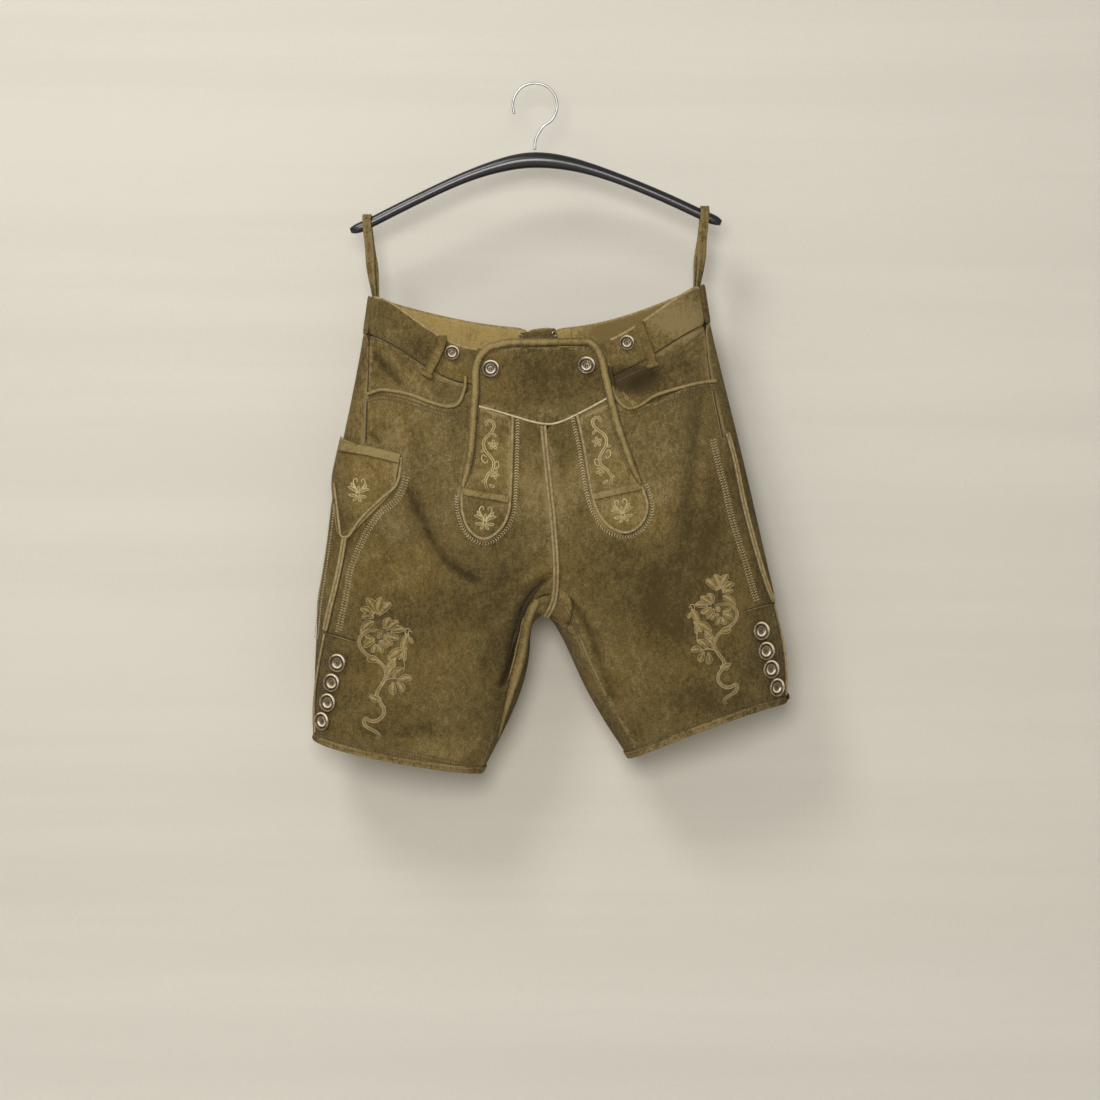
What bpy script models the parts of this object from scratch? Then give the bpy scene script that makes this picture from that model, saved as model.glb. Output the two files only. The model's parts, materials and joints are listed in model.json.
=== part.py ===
"""Alpine leather shorts (lederhosen) hanging by two leather loops from a plain clothes hanger.

Frame: metres, +Z up, the front faces -Y, +X is the wearer's left. The origin is the inner apex of the hanger's
hook, where a rail would carry it. Tables are in millimetres and are scaled once, where they are read.
"right" and "left" in a name are the wearer's.

The body is worked out from sections, one table row for each level from the waist to the hem. A section is a
ring: its angle runs from 0 at the inner leg over the front (90) to the outermost line (180), the back (270)
and the inner leg again (360). Above the fork the ring starts and ends on the centre line.
"""

import math
from collections import namedtuple

import bmesh
import bpy
from mathutils import Vector
from mathutils.bvhtree import BVHTree

MM = 0.001

# Driving sizes, millimetres.
LEATHER = 1.8  # a single layer of the body
SEAM_GAP = 0.45  # each edge stands back this much from its seam line
FORK_GAP = 1.1  # and this much more where the four panels meet
WAISTBAND_OUT, WAISTBAND_THICK = 1.0, 3.0
FLAP_LIFT = 4.5  # the front flap lies this far in front of the body
FACING_LIFT = -2.9  # the pocket facing lies this far behind it
FULLNESS = 0.8  # under 1 flattens the front and back of every ring
LAY = 0.5  # clearance under what is sewn onto a panel
EDGE_SAMPLE = 2.5
PLACKET_LAP, PLACKET_DEPTH = 6.0, 2.6
HEM_HEIGHT, HEM_THICK = 7.0, 1.3
BUTTON_SIDES = 14
NOTCH_X, NOTCH_TOP, NOTCH_FOOT = 6.5, 30.0, 6.0  # the laced notch in the back waistband, and its widths
STEM_FOOT, STEM_TOP = -78.0, -62.0
HOOK_RADIUS, HOOK_WIRE = 25.0, 3.4

COLOURS = {
    "leather": ((0.185, 0.138, 0.060), 0.92, 0.0),
    "inside": ((0.300, 0.215, 0.105), 0.95, 0.0),
    "piping": ((0.350, 0.270, 0.125), 0.80, 0.0),
    "horn": ((0.420, 0.320, 0.200), 0.35, 0.0),
    "metal": ((0.450, 0.430, 0.390), 0.30, 1.0),
    "steel": ((0.600, 0.600, 0.600), 0.25, 1.0),
    "plastic": ((0.010, 0.010, 0.012), 0.30, 0.0),
}

Row = namedtuple(
    "Row",
    "outer_x outer_z inner_x front_z back_z middle front_depth back_depth seam_x inset sag bend",
)
# outer: outermost line; inner: centre line, and below the fork the innermost line; middle: how far the ring's
# centre has moved from the centre line (0) to the middle of the thigh (1); seam: the side seam; inset: how far
# forward of the innermost line the inseam shows; sag: how much the edge dips between its ends; bend: the power
# of a sloping edge.
RIGHT_ROWS = (
    Row(-201, -252, 13, -317, -290, 0.00, 50, 50, -198, 0, 1.0, 1.0),  # waist, top
    Row(-208, -300, 13, -361, -338, 0.00, 57, 57, -200, 0, 1.0, 1.0),  # waistband seam
    Row(-224, -384, 14, -418, -411, 0.04, 68, 66, -202, 0, 0.5, 1.0),  # hip
    Row(-244, -475, 17, -500, -496, 0.16, 72, 72, -214, 0, 0.2, 1.0),  # seat
    Row(-253, -548, 21, -568, -566, 0.50, 74, 76, -227, 0, 0.0, 1.0),
    Row(-260, -590, 24, -606, -606, 0.85, 72, 76, -236, 0, 0.0, 1.0),
    Row(-266, -616, 12, -637, -637, 1.00, 70, 76, -243, 0, 0.0, 1.0),  # fork
    Row(-268, -634, -3, -650, -650, 1.00, 68, 75, -249, 12, 0.0, 1.0),
    Row(-271, -672, -5, -690, -690, 1.00, 66, 72, -257, 16, 0.0, 1.0),
    Row(-273, -715, -17, -736, -736, 1.00, 64, 68, -265, 15, 0.0, 0.9),
    Row(-273, -752, -39, -784, -784, 1.00, 62, 64, -269, 11, 0.0, 0.85),
    Row(-271, -787, -63, -829, -829, 1.00, 60, 62, -268, 5, 0.0, 0.8),  # hem
)
LEFT_ROWS = (
    Row(204, -238, 13, -317, -290, 0.00, 50, 50, 198, 0, 1.0, 1.0),
    Row(212, -287, 13, -361, -338, 0.00, 57, 57, 205, 0, 1.0, 1.0),
    Row(229, -357, 14, -418, -411, 0.04, 68, 66, 213, 0, 0.5, 1.0),
    Row(255, -460, 17, -500, -496, 0.16, 72, 72, 240, 0, 0.2, 1.0),
    Row(275, -545, 21, -568, -566, 0.50, 74, 76, 264, 0, 0.0, 1.0),
    Row(285, -586, 24, -606, -606, 0.85, 72, 76, 275, 0, 0.0, 1.0),
    Row(292, -612, 12, -637, -637, 1.00, 70, 76, 282, 0, 0.0, 1.0),
    Row(296, -630, 24, -653, -653, 1.00, 68, 75, 286, 16, 0.0, 1.0),
    Row(304, -659, 39, -682, -682, 1.00, 66, 72, 294, 21, 0.0, 1.1),
    Row(309, -687, 58, -725, -725, 1.00, 64, 68, 302, 21, 0.0, 1.2),
    Row(311, -714, 85, -772, -772, 1.00, 62, 64, 304, 19, 0.0, 1.3),
    Row(310, -742, 112, -812, -812, 1.00, 60, 62, 303, 15, 0.0, 1.4),
)
WAIST, WAIST_SEAM, SEAT, FORK, HEM = 0, 1, 3, 6, 11
PLACKET = {-1: 7.9, 1: 7.3}  # level where the buttoned slit starts

# Curves on the front, as (x, z).
SLIT = {
    -1: ((-66, -318), (-69, -338), (-73, -378), (-78, -438), (-88, -492)),
    1: ((84, -318), (90, -338), (95, -373), (108, -438), (127, -484)),
}
MOUTH = {
    -1: ((-206, -366), (-168, -367), (-126, -380), (-98, -387), (-88, -380), (-82, -360)),
    1: ((218, -356), (186, -361), (150, -378), (126, -389), (110, -381), (97, -354)),
}
YOKE_SEAM = ((-72, -384), (-28, -397), (14, -409), (54, -397), (95, -378))
FLAP_TOP = ((-68, -332), (-61, -319), (-32, -311), (25, -307), (54, -308), (71, -311), (83, -320), (90, -334))
BORDER = (
    (-86, -481), (-78, -438), (-73, -378), (-70, -342), (-66, -325), (-56, -315), (-32, -310), (25, -306),
    (54, -307), (71, -310), (83, -318), (89, -332), (94, -373), (107, -438), (125, -475),
)
STRIP_INNER = {
    -1: ((-28, -394), (-29, -470), (-30, -500)),
    1: ((50, -394), (60, -450), (69, -500)),
}
STRIP_END = {-1: (-60, -546), 1: (101, -537)}
STRIP_SQUARE = {-1: -500, 1: -494}  # below this the strip closes in a half round
BAND = {-1: ((-87, -490), (-30, -497)), 1: ((69, -497), (127, -485))}
SHEATH_LEFT = ((-233, -422), (-241, -461), (-242, -486), (-235, -538))
SHEATH_RIGHT = ((-161, -446), (-165, -468), (-170, -488), (-221, -540))

# Fastenings: name, x, z, radius, height, and how far round it the cloth is felt for.
BUTTONS = (
    ("flap_button_right", -52, -342, 10.5, 5.0, 6.0),
    ("flap_button_left", 61, -338, 10.5, 5.0, 6.0),
    ("brace_button_right", -98, -323, 9.0, 4.5, 6.0),
    ("brace_button_left", 109, -311, 9.0, 4.5, 6.0),
)
LEG_BUTTONS = {
    -1: ((-235, -692), (-242, -716), (-247, -740), (-254, -763)),
    1: ((269, -654), (275, -678), (281, -700), (288, -722)),
}
BUTTON_OFF = 0.6
BUTTON_SECTION = (  # share of the radius, share of the height
    (0.55, 0.0), (0.95, 0.25), (1.0, 0.7), (0.88, 1.0), (0.70, 0.55), (0.52, 0.72), (0.38, 0.50),
)
FRONT_LOOPS = (
    ("belt_loop_front_right", (-117, -300), (-125, -345)),
    ("belt_loop_front_left", (128, -283), (139, -333)),
)
BACK_LOOPS = (
    ("belt_loop_back_right", (-62, -291), (-64, -333)),
    ("belt_loop_back_left", (92, -286), (94, -328)),
)
LOOP_STAND = (0.0, 2.6, 4.6, 5.2, 5.2, 4.6, 2.6, 0.0)  # from its upper to its lower end
EYELETS = {
    "right_upper": (-15, -300),
    "right_lower": (-11, -322),
    "left_upper": (28, -300),
    "left_lower": (24, -322),
}
EYELET_SECTION = ((4.2, 0.0), (4.2, 0.7), (2.4, 0.9), (2.4, 0.0))
EYELET_SIDES = 12
LACE = 3.0  # diameter
LACE_ROUTE = (  # (x, z, how far it stands off the waistband)
    (-29, -372, 3.0), (-26, -350, 3.0), (-18, -330, 3.2), (-11, -318, 3.6), (-12, -308, 3.8), (-13, -297, 4.0),
    (-8, -288, 4.6), (2, -284, 5.0), (11, -284, 5.0), (20, -288, 4.6), (26, -297, 4.0), (25, -308, 3.8),
    (24, -318, 3.6), (31, -331, 3.2), (40, -348, 3.0), (42, -366, 3.0),
)

# The hanger's arms, as (x, z) of their middle line, and the two loops.
ARM = (
    (-222, -175), (-202, -167), (-150, -141), (-90, -113), (-40, -96), (0, -90), (44, -95), (94, -110),
    (154, -134), (204, -157), (224, -165),
)
ARM_RADIUS, ARM_DEPTH, ARM_SIDES = 6.6, 0.8, 10
LOOP_FOOT = {-1: (-191, -262), 1: (194, -250)}
LOOP_TOP = {-1: (-202, -167), 1: (204, -157)}
TAPE_WIDE, TAPE_THICK = 10.5, 1.4
TAPE_TURN = 66.0  # degrees that a tape turns on its way up
TAPE_OVER = 11.0  # from the arm's middle line to the tape's inner face

# Soft folds of the front: a line of (x, z), its half width, and how far it sinks (-) or rises (+).
Fold = namedtuple("Fold", "name width depth line")
FOLDS = (
    Fold("right hip crease", 9, -5.0, ((-196, -322), (-168, -338), (-144, -366))),
    Fold("right hip crease, lower", 8, -2.5, ((-200, -410), (-166, -438))),
    Fold("right thigh drape", 18, -6.5, ((-180, -390), (-150, -440), (-126, -512), (-96, -572), (-66, -606))),
    Fold("right thigh drape, ridge", 22, 4.5, ((-140, -392), (-112, -450), (-84, -520), (-50, -560))),
    Fold("right inner leg crease", 11, -9.0, ((14, -592), (-6, -614), (-16, -636), (-26, -670), (-38, -722))),
    Fold("right inner leg ridge", 13, 4.5, ((-10, -580), (-34, -625), (-48, -690))),
    Fold("left pocket crease", 10, -4.0, ((104, -362), (146, -348), (190, -324))),
    Fold("left side plane", 16, -6.0, ((206, -372), (190, -462), (166, -600))),
    Fold("left side plane, ridge", 20, 4.0, ((172, -400), (160, -470), (140, -560))),
    Fold("left strip valley", 16, -6.0, ((70, -572), (116, -568), (160, -546))),
    Fold("left inner leg crease", 10, -5.0, ((40, -596), (58, -622), (74, -690))),
    Fold("fork lump", 10, 5.0, ((34, -606), (42, -640))),
    Fold("right waistband dip", 10, -3.5, ((-166, -268), (-142, -290), (-116, -316))),
    Fold("left waistband dip", 12, -3.0, ((136, -302), (170, -286), (206, -266))),
    Fold("left hem wave", 22, 3.5, ((222, -700), (222, -764))),
    Fold("right hem wave", 26, 3.0, ((-190, -740), (-196, -806))),
)
BACK_FOLDS = (
    Fold("right seat crease", 14, -5.0, ((-30, -560), (-80, -600), (-140, -624))),
    Fold("left seat crease", 14, -5.0, ((60, -560), (120, -598), (190, -616))),
    Fold("right seat drape", 22, -4.5, ((-190, -380), (-140, -450), (-70, -520))),
    Fold("left seat drape", 22, -4.5, ((206, -372), (160, -440), (90, -516))),
    Fold("right leg drape", 20, -4.0, ((-160, -640), (-150, -790))),
    Fold("left leg drape", 20, -4.0, ((180, -630), (210, -750))),
)


# Numbers and curves.


def spline(before, start, end, after, t):
    """Catmull-Rom between start and end."""
    return 0.5 * (
        2 * start
        + (end - before) * t
        + (2 * before - 5 * start + 4 * end - after) * t * t
        + (3 * start - before - 3 * end + after) * t**3
    )


def smooth(points, per_span):
    """A smooth curve through points, with per_span steps between two of them."""
    points = [Vector(point) for point in points]
    padded = [2 * points[0] - points[1], *points, 2 * points[-1] - points[-2]]
    curve = [
        spline(*padded[i : i + 4], step / per_span)
        for i in range(len(points) - 1)
        for step in range(per_span)
    ]
    return [*curve, points[-1]]


def height_on(line, x):
    """z on a line of (x, z) at x, which holds its end values outside."""
    ordered = sorted(line)
    for (x0, z0), (x1, z1) in zip(ordered, ordered[1:]):
        if x <= x1:
            share = min(max((x - x0) / (x1 - x0), 0), 1)
            return z0 + (z1 - z0) * share
    return ordered[-1][1]


def across_on(line, z):
    """x on a line of (x, z) at z."""
    return height_on([(b, a) for a, b in line], z)


def ramp(value, start, end):
    share = min(max((value - start) / (end - start), 0), 1)
    return share * share * (3 - 2 * share)


def fold_height(folds, x, z):
    """How far the folds move the cloth out at (x, z). Each fades over its last width at both ends."""
    total = 0
    here = Vector((x, z))
    for fold in folds:
        nearest, along, length = 1e9, 0, 0
        for start, end in zip(fold.line, fold.line[1:]):
            start, span = Vector(start), Vector(end) - Vector(start)
            share = min(max((here - start).dot(span) / span.length_squared, 0), 1)
            distance = (here - start - span * share).length
            if distance < nearest:
                nearest, along = distance, length + share * span.length
            length += span.length
        if nearest < 3 * fold.width:
            fade = ramp(along, -0.5 * fold.width, 1.5 * fold.width)
            fade *= ramp(length - along, -0.5 * fold.width, 1.5 * fold.width)
            total += fold.depth * fade * math.exp(-((nearest / fold.width) ** 2))
    return total


class Half:
    """One half of the body: side is -1 for the wearer's right and 1 for the left."""

    def __init__(self, side, rows, reach, power):
        self.side, self.rows, self.reach, self.power = side, rows, reach, power

    def row(self, level):
        i = min(max(int(level), 0), len(self.rows) - 2)
        ends = [self.rows[min(max(k, 0), len(self.rows) - 1)] for k in (i - 1, i, i + 1, i + 2)]
        row = Row(*[spline(*column, level - i) for column in zip(*ends)])
        # The centre line bends sharply at the fork, where the two legs part.
        if i in (FORK - 1, FORK):
            at = self.rows[i : i + 2]
            share = level - i
            inner_x = at[0].inner_x + (at[1].inner_x - at[0].inner_x) * share
            inner_z = at[0].front_z + (at[1].front_z - at[0].front_z) * share
            row = row._replace(inner_x=inner_x, front_z=inner_z, back_z=inner_z)
        return row._replace(middle=min(row.middle, 1), inset=max(row.inset, 0), sag=min(max(row.sag, 0), 1))

    def centre(self, row):
        """The ring's centre and signed half width."""
        x = row.inner_x + row.middle * (row.outer_x - row.inner_x) / 2
        return x, row.outer_x - x

    def angle_at(self, row, x):
        """The front angle at x."""
        centre, half = self.centre(row)
        return math.degrees(math.acos(min(max((centre - x) / half, -1), 1)))

    def front_start(self, row):
        return self.angle_at(row, row.inner_x + self.side * row.inset)

    def back_end(self, level, row):
        """The back ends on the centre line, and below the fork on the inseam, which lies forward of 360."""
        start = self.front_start(row)
        return 360 - start if level <= FORK else 360 + start

    def side_seam(self, row):
        return self.angle_at(row, row.seam_x)

    def height(self, row, x, front):
        share = min(max((x - row.outer_x) / (row.inner_x - row.outer_x), 0), 1)
        reach, power = (self.reach, self.power) if front else (1.0, 1.0)
        dip = math.sin(math.pi / 2 * min(share / reach, 1)) ** power
        inner_z = row.front_z if front else row.back_z
        mixed = (1 - row.sag) * share**row.bend + row.sag * dip
        return row.outer_z + (inner_z - row.outer_z) * mixed

    def raw(self, level, angle):
        row = self.row(level)
        centre, half = self.centre(row)
        angle %= 360
        sine = math.sin(math.radians(angle))
        front = sine >= 0
        x = centre - half * math.cos(math.radians(angle))
        depth = row.front_depth if front else row.back_depth
        y = -math.copysign(depth * abs(sine) ** FULLNESS, sine)
        return Vector((x, y, self.height(row, x, front)))

    def skin(self, level, angle, out=0.0, seam=False):
        """A point on the body and its normal, moved out by the folds and by out. A seam on the centre line has
        its normal in the middle plane."""
        at = self.raw(level, angle)
        across = self.raw(level, angle + 1.0) - self.raw(level, angle - 1.0)
        up = self.raw(max(level - 0.04, 0), angle) - self.raw(min(level + 0.04, HEM), angle)
        normal = across.cross(up).normalized()
        centre, _ = self.centre(self.row(level))
        if normal.dot(Vector((at.x - centre, at.y, 0))) < 0:
            normal.negate()
        if seam:
            normal.x = 0
            normal = normal.normalized() if normal.length > 0.2 else Vector((0, 0, -1))
        front = at.y < 0
        fold = fold_height(FOLDS if front else BACK_FOLDS, at.x, at.z)
        # The folds leave the outermost line alone, so that the outline stays.
        fold *= ramp(abs(normal.y), 0.1, 0.6)
        return at + normal * (fold + out), normal

    def level_at(self, x, z, front=True):
        low, high = float(WAIST), float(HEM)
        for _ in range(24):
            level = (low + high) / 2
            if self.height(self.row(level), x, front) > z:
                low = level
            else:
                high = level
        return (low + high) / 2

    def front_at(self, x, z, out=0.0):
        level = self.level_at(x, z)
        return self.skin(level, self.angle_at(self.row(level), x), out)


HALVES = {-1: Half(-1, RIGHT_ROWS, 0.62, 1.8), 1: Half(1, LEFT_ROWS, 0.84, 1.4)}
WEARER = {-1: "right", 1: "left"}
CENTRE_X = 13


def half_at(x):
    return HALVES[-1 if x < CENTRE_X else 1]


# Solids.


def clear_scene():
    for thing in list(bpy.data.objects):
        bpy.data.objects.remove(thing, do_unlink=True)


def material(name):
    found = bpy.data.materials.get(name)
    if found:
        return found
    colour, roughness, metallic = COLOURS[name]
    made = bpy.data.materials.new(name)
    made.use_nodes = True
    shader = made.node_tree.nodes["Principled BSDF"]
    shader.inputs["Base Color"].default_value = (*colour, 1)
    shader.inputs["Roughness"].default_value = roughness
    shader.inputs["Metallic"].default_value = metallic
    made.diffuse_color = (*colour, 1)
    return made


def solid(name, points, faces, finish):
    """A closed body from points in millimetres."""
    mesh = bpy.data.meshes.new(name)
    mesh.from_pydata([point * MM for point in points], [], faces)
    work = bmesh.new()
    work.from_mesh(mesh)
    bmesh.ops.recalc_face_normals(work, faces=work.faces)
    work.to_mesh(mesh)
    work.free()
    mesh.materials.append(material(finish))
    mesh.shade_smooth()
    mesh.set_sharp_from_angle(angle=math.radians(40))
    made = bpy.data.objects.new(name, mesh)
    bpy.context.scene.collection.objects.link(made)
    return made


def shell(name, cells, outer, inner, finish):
    """A wall between two sheets of the same cells. Cells are rings of keys, and the sheets give their points."""
    keys = sorted({key for cell in cells for key in cell})
    index = {key: i for i, key in enumerate(keys)}
    count = len(keys)
    points = [outer[key] for key in keys] + [inner[key] for key in keys]
    faces = [[index[key] for key in cell] for cell in cells]
    edges = {}
    for face in faces:
        for start, end in zip(face, face[1:] + face[:1]):
            edges.setdefault(frozenset((start, end)), []).append((start, end))
    rim = [uses[0] for uses in edges.values() if len(uses) == 1]
    faces += [[i + count for i in reversed(face)] for face in faces]
    faces += [[end, start, start + count, end + count] for start, end in rim]
    return solid(name, points, faces, finish)


def grid_cells(rows, columns):
    return [
        ((r, c), (r, c + 1), (r + 1, c + 1), (r + 1, c))
        for r in range(rows)
        for c in range(columns)
    ]


def draw_in(points, key, towards, distance):
    """Moves an edge point along its own sheet towards its neighbour."""
    points[key] = points[key] + (points[towards] - points[key]).normalized() * distance


def inset_grid(points, rows, columns, distance, sides="tblr"):
    for c in range(columns + 1):
        if "t" in sides:
            draw_in(points, (0, c), (1, c), distance)
        if "b" in sides:
            draw_in(points, (rows, c), (rows - 1, c), distance)
    for r in range(rows + 1):
        if "l" in sides:
            draw_in(points, (r, 0), (r, 1), distance)
        if "r" in sides:
            draw_in(points, (r, columns), (r, columns - 1), distance)


def thicken(points, normals, thick):
    return {key: point - normals[key] * thick for key, point in points.items()}


def sheet(name, rows, columns, place, thick, finish, sides="tblr"):
    """A wall over a grid. place(row share, column share) gives the outer point and its normal."""
    placed = {
        (r, c): place(r / rows, c / columns) for r in range(rows + 1) for c in range(columns + 1)
    }
    points = {key: value[0] for key, value in placed.items()}
    normals = {key: value[1] for key, value in placed.items()}
    inset_grid(points, rows, columns, SEAM_GAP, sides)
    inner = thicken(points, normals, thick)
    return shell(name, grid_cells(rows, columns), points, inner, finish)


def sweep(name, path, profile, finish):
    """A solid along a path of (point, across, out, scale), with a profile of (across, out) points."""
    points = [
        at + across * a * scale + out * o * scale
        for at, across, out, scale in path
        for a, o in profile
    ]
    n = len(profile)
    faces = [
        [i * n + k, i * n + (k + 1) % n, (i + 1) * n + (k + 1) % n, (i + 1) * n + k]
        for i in range(len(path) - 1)
        for k in range(n)
    ]
    faces += [list(range(n)), list(range(len(points) - n, len(points)))]
    return solid(name, points, faces, finish)


def turned(name, at, axes, section, sides, finish, ring=False):
    """A section of (radius, height) turned about axes[2]. A ring's section closes on itself."""
    across, up, axis = axes
    turns = [math.tau * i / sides for i in range(sides)]
    points = [
        at + axis * rise + (across * math.cos(turn) + up * math.sin(turn)) * reach
        for reach, rise in section
        for turn in turns
    ]
    steps = len(section) if ring else len(section) - 1
    faces = []
    for r in range(steps):
        low, high = r * sides, (r + 1) % len(section) * sides
        for k in range(sides):
            after = (k + 1) % sides
            faces.append([low + k, low + after, high + after, high + k])
    if not ring:
        faces += [list(range(sides)), list(range(len(points) - sides, len(points)))]
    solid(name, points, faces, finish)


def rounded(width, height):
    """A piping's profile: flat underneath and round on top."""
    half = width / 2
    return [(-half, 0), (-0.75 * half, 0.7 * height), (0, height), (0.75 * half, 0.7 * height), (half, 0)]


def flat_strip(width, height):
    return [(-width / 2, 0), (-width / 2, height), (width / 2, height), (width / 2, 0)]


def ring_profile(radius, sides):
    return [
        (radius * math.cos(math.tau * i / sides), radius * math.sin(math.tau * i / sides))
        for i in range(sides)
    ]


class Ground:
    """The outer faces of finished pieces, for finding the place of what is sewn onto them."""

    def __init__(self):
        self.trees = []

    def add(self, made):
        mesh = made.data
        points = [vertex.co / MM for vertex in mesh.vertices]
        self.trees.append(BVHTree.FromPolygons(points, [list(p.vertices) for p in mesh.polygons]))

    def hit(self, x, z, toward):
        start = Vector((x, -toward * 400, z))
        found = [tree.ray_cast(start, Vector((0, toward, 0))) for tree in self.trees]
        found = [(one[0], one[1]) for one in found if one[0] is not None]
        return min(found, key=lambda one: toward * one[0].y) if found else None

    def at(self, x, z, out, spread=EDGE_SAMPLE, toward=1):
        """The nearest point round (x, z), seen along Y from the front (toward 1) or the back (-1), moved out."""
        around = [(0, 0), (spread, 0), (-spread, 0), (0, spread), (0, -spread)]
        hits = [self.hit(x + dx, z + dz, toward) for dx, dz in around]
        hits = [one for one in hits if one]
        if not hits:
            return None
        y = toward * min(toward * one[0].y for one in hits)
        normal = sum((one[1] for one in hits), Vector()).normalized()
        return Vector((x, y, z)) + normal * out, normal


FRONT, BACK = Ground(), Ground()


def run_along(line, normal_at, out):
    """Frames along a line of points: normal_at(point) gives the place and the outward normal."""
    placed = [normal_at(point) for point in line]
    frames = []
    for i, (at, normal) in enumerate(placed):
        ahead = placed[min(i + 1, len(placed) - 1)][0] - placed[max(i - 1, 0)][0]
        across = ahead.cross(normal).normalized()
        frames.append((at + normal * out, across, across.cross(ahead).normalized(), 1.0))
    return frames


def trim(name, line, profile, finish, per_span, spread, out):
    """A piping or strip that lies along a line of (x, z) on the front."""
    path = run_along(smooth(line, per_span), lambda point: FRONT.at(*point, 0, spread), out)
    sweep(name, path, profile, finish)


# The body's panels.


def slit_share(half, level):
    """Where the flap's slit crosses a front row, as a share of the front's angle."""
    level = min(level, SEAT)
    row = half.row(level)
    x = SLIT[half.side][2][0]
    for _ in range(6):
        x = across_on(SLIT[half.side], half.height(row, x, True))
    start = half.front_start(row)
    return (half.angle_at(row, x) - start) / (half.side_seam(row) - start)


def front_angle(half, level, share):
    row = half.row(level)
    start = half.front_start(row)
    return start + (half.side_seam(row) - start) * share


def top_level(half, share_at, curve):
    """The level at which a column of the front meets a curve of (x, z)."""
    low, high = 0.6, 2.9
    for _ in range(24):
        level = (low + high) / 2
        at = half.raw(level, front_angle(half, level, share_at(level)))
        if at.z > height_on(curve, at.x):
            low = level
        else:
            high = level
    return (low + high) / 2


def front_panel(half):
    """One front from the side seam to the centre seam. Above the seat a slit parts it: the inner part rises to
    the flap, and the outer part ends at the pocket mouth."""
    inner_columns, outer_columns, upper_rows, lower_rows = 4, 8, 6, 16
    points, normals = {}, {}
    rows = upper_rows + lower_rows

    def fill(keys, share_at, curve, lift_at, seam):
        top = top_level(half, share_at, curve)
        for r, key in enumerate(keys):
            if r <= upper_rows:
                level = top + (SEAT - top) * r / upper_rows
            else:
                level = SEAT + (HEM - SEAT) * (r - upper_rows) / lower_rows
            angle = front_angle(half, level, share_at(level))
            on_centre = seam and level <= FORK
            points[key], normals[key] = half.skin(level, angle, lift_at(r), on_centre)

    def flap_lift(r):
        return FLAP_LIFT * (1 - ramp(r, 0, upper_rows))

    def mouth_lift(r):
        return 1.4 * (1 - ramp(r, 0, 3))

    for c in range(inner_columns + 1):
        fill(
            [(r, c) for r in range(rows + 1)],
            lambda level, c=c: slit_share(half, level) * c / inner_columns,
            YOKE_SEAM,
            flap_lift,
            c == 0,
        )
    for c in range(outer_columns + 1):
        column = inner_columns + c
        slit_side = c == 0
        keys = [(r, -1) if slit_side and r < upper_rows else (r, column) for r in range(rows + 1)]
        fill(
            keys,
            lambda level, c=c: slit_share(half, level) + (1 - slit_share(half, level)) * c / outer_columns,
            MOUTH[half.side],
            mouth_lift,
            False,
        )
    columns = inner_columns + outer_columns
    for r in range(upper_rows):
        draw_in(points, (r, inner_columns), (r, inner_columns - 1), 1.0)
        draw_in(points, (r, -1), (r, inner_columns + 1), 1.0)
    draw_in(points, (0, -1), (1, -1), SEAM_GAP)
    inset_grid(points, rows, columns, SEAM_GAP)
    for level in (FORK, FORK + 0.5, FORK + 1):
        r = upper_rows + round((level - SEAT) * lower_rows / (HEM - SEAT))
        draw_in(points, (r, 0), (r, 1), FORK_GAP)
    cells = []
    for cell in grid_cells(rows, columns):
        r, c = cell[0]
        if c == inner_columns and r < upper_rows:
            cell = tuple((key[0], -1) if key[1] == c and key[0] < upper_rows else key for key in cell)
        cells.append(cell)
    inner = thicken(points, normals, LEATHER)
    FRONT.add(shell(f"front_{WEARER[half.side]}", cells, points, inner, "leather"))
    return [(points[rows, c], points[rows - 1, c], normals[rows, c]) for c in range(columns + 1)]


def back_panel(half):
    """One back from the side seam round the outside to the centre back and the inseam. Below the placket's level
    its front edge runs in behind the front."""
    columns, rows = 15, 20
    starts = PLACKET[half.side]
    points, normals = {}, {}
    for r in range(rows + 1):
        level = WAIST_SEAM + (HEM - WAIST_SEAM) * r / rows
        row = half.row(level)
        _, half_width = half.centre(row)
        seam = half.side_seam(row)
        lap = math.degrees(PLACKET_LAP / (0.6 * abs(half_width))) * ramp(level, starts - 0.3, starts + 0.4)
        end = half.back_end(level, row)
        for c in range(columns + 1):
            share = (c / columns) ** 0.9
            angle = seam - lap + (end - seam + lap) * share
            behind = -PLACKET_DEPTH * ramp(level, starts - 1.0, starts - 0.3) * (1 - ramp(c, 1, 4))
            on_centre = c == columns and level <= FORK
            points[r, c], normals[r, c] = half.skin(level, angle, behind, on_centre)
    inset_grid(points, rows, columns, SEAM_GAP)
    for level in (FORK, FORK + 0.5, FORK + 1):
        r = round((level - WAIST_SEAM) * rows / (HEM - WAIST_SEAM))
        draw_in(points, (r, columns), (r, columns - 1), FORK_GAP)
    inner = thicken(points, normals, LEATHER)
    made = shell(f"back_{WEARER[half.side]}", grid_cells(rows, columns), points, inner, "leather")
    FRONT.add(made)
    BACK.add(made)
    return [(points[rows, c], points[rows - 1, c], normals[rows, c]) for c in range(columns + 1)]


def hem_binding(half, front_hem, back_hem):
    """A band round the leg's lower edge, made from the panels' own points."""
    edge = front_hem[::-1] + back_hem[:0:-1]
    points, inner = {}, {}
    for c, (low, above, normal) in enumerate(edge):
        up = (above - low).normalized()
        for r, rise in enumerate((HEM_HEIGHT, 0.3)):
            base = low + up * rise
            inner[r, c] = base + normal * LAY
            points[r, c] = base + normal * (LAY + HEM_THICK)
    shell(f"hem_binding_{WEARER[half.side]}", grid_cells(1, len(edge) - 1), points, inner, "leather")


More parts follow.
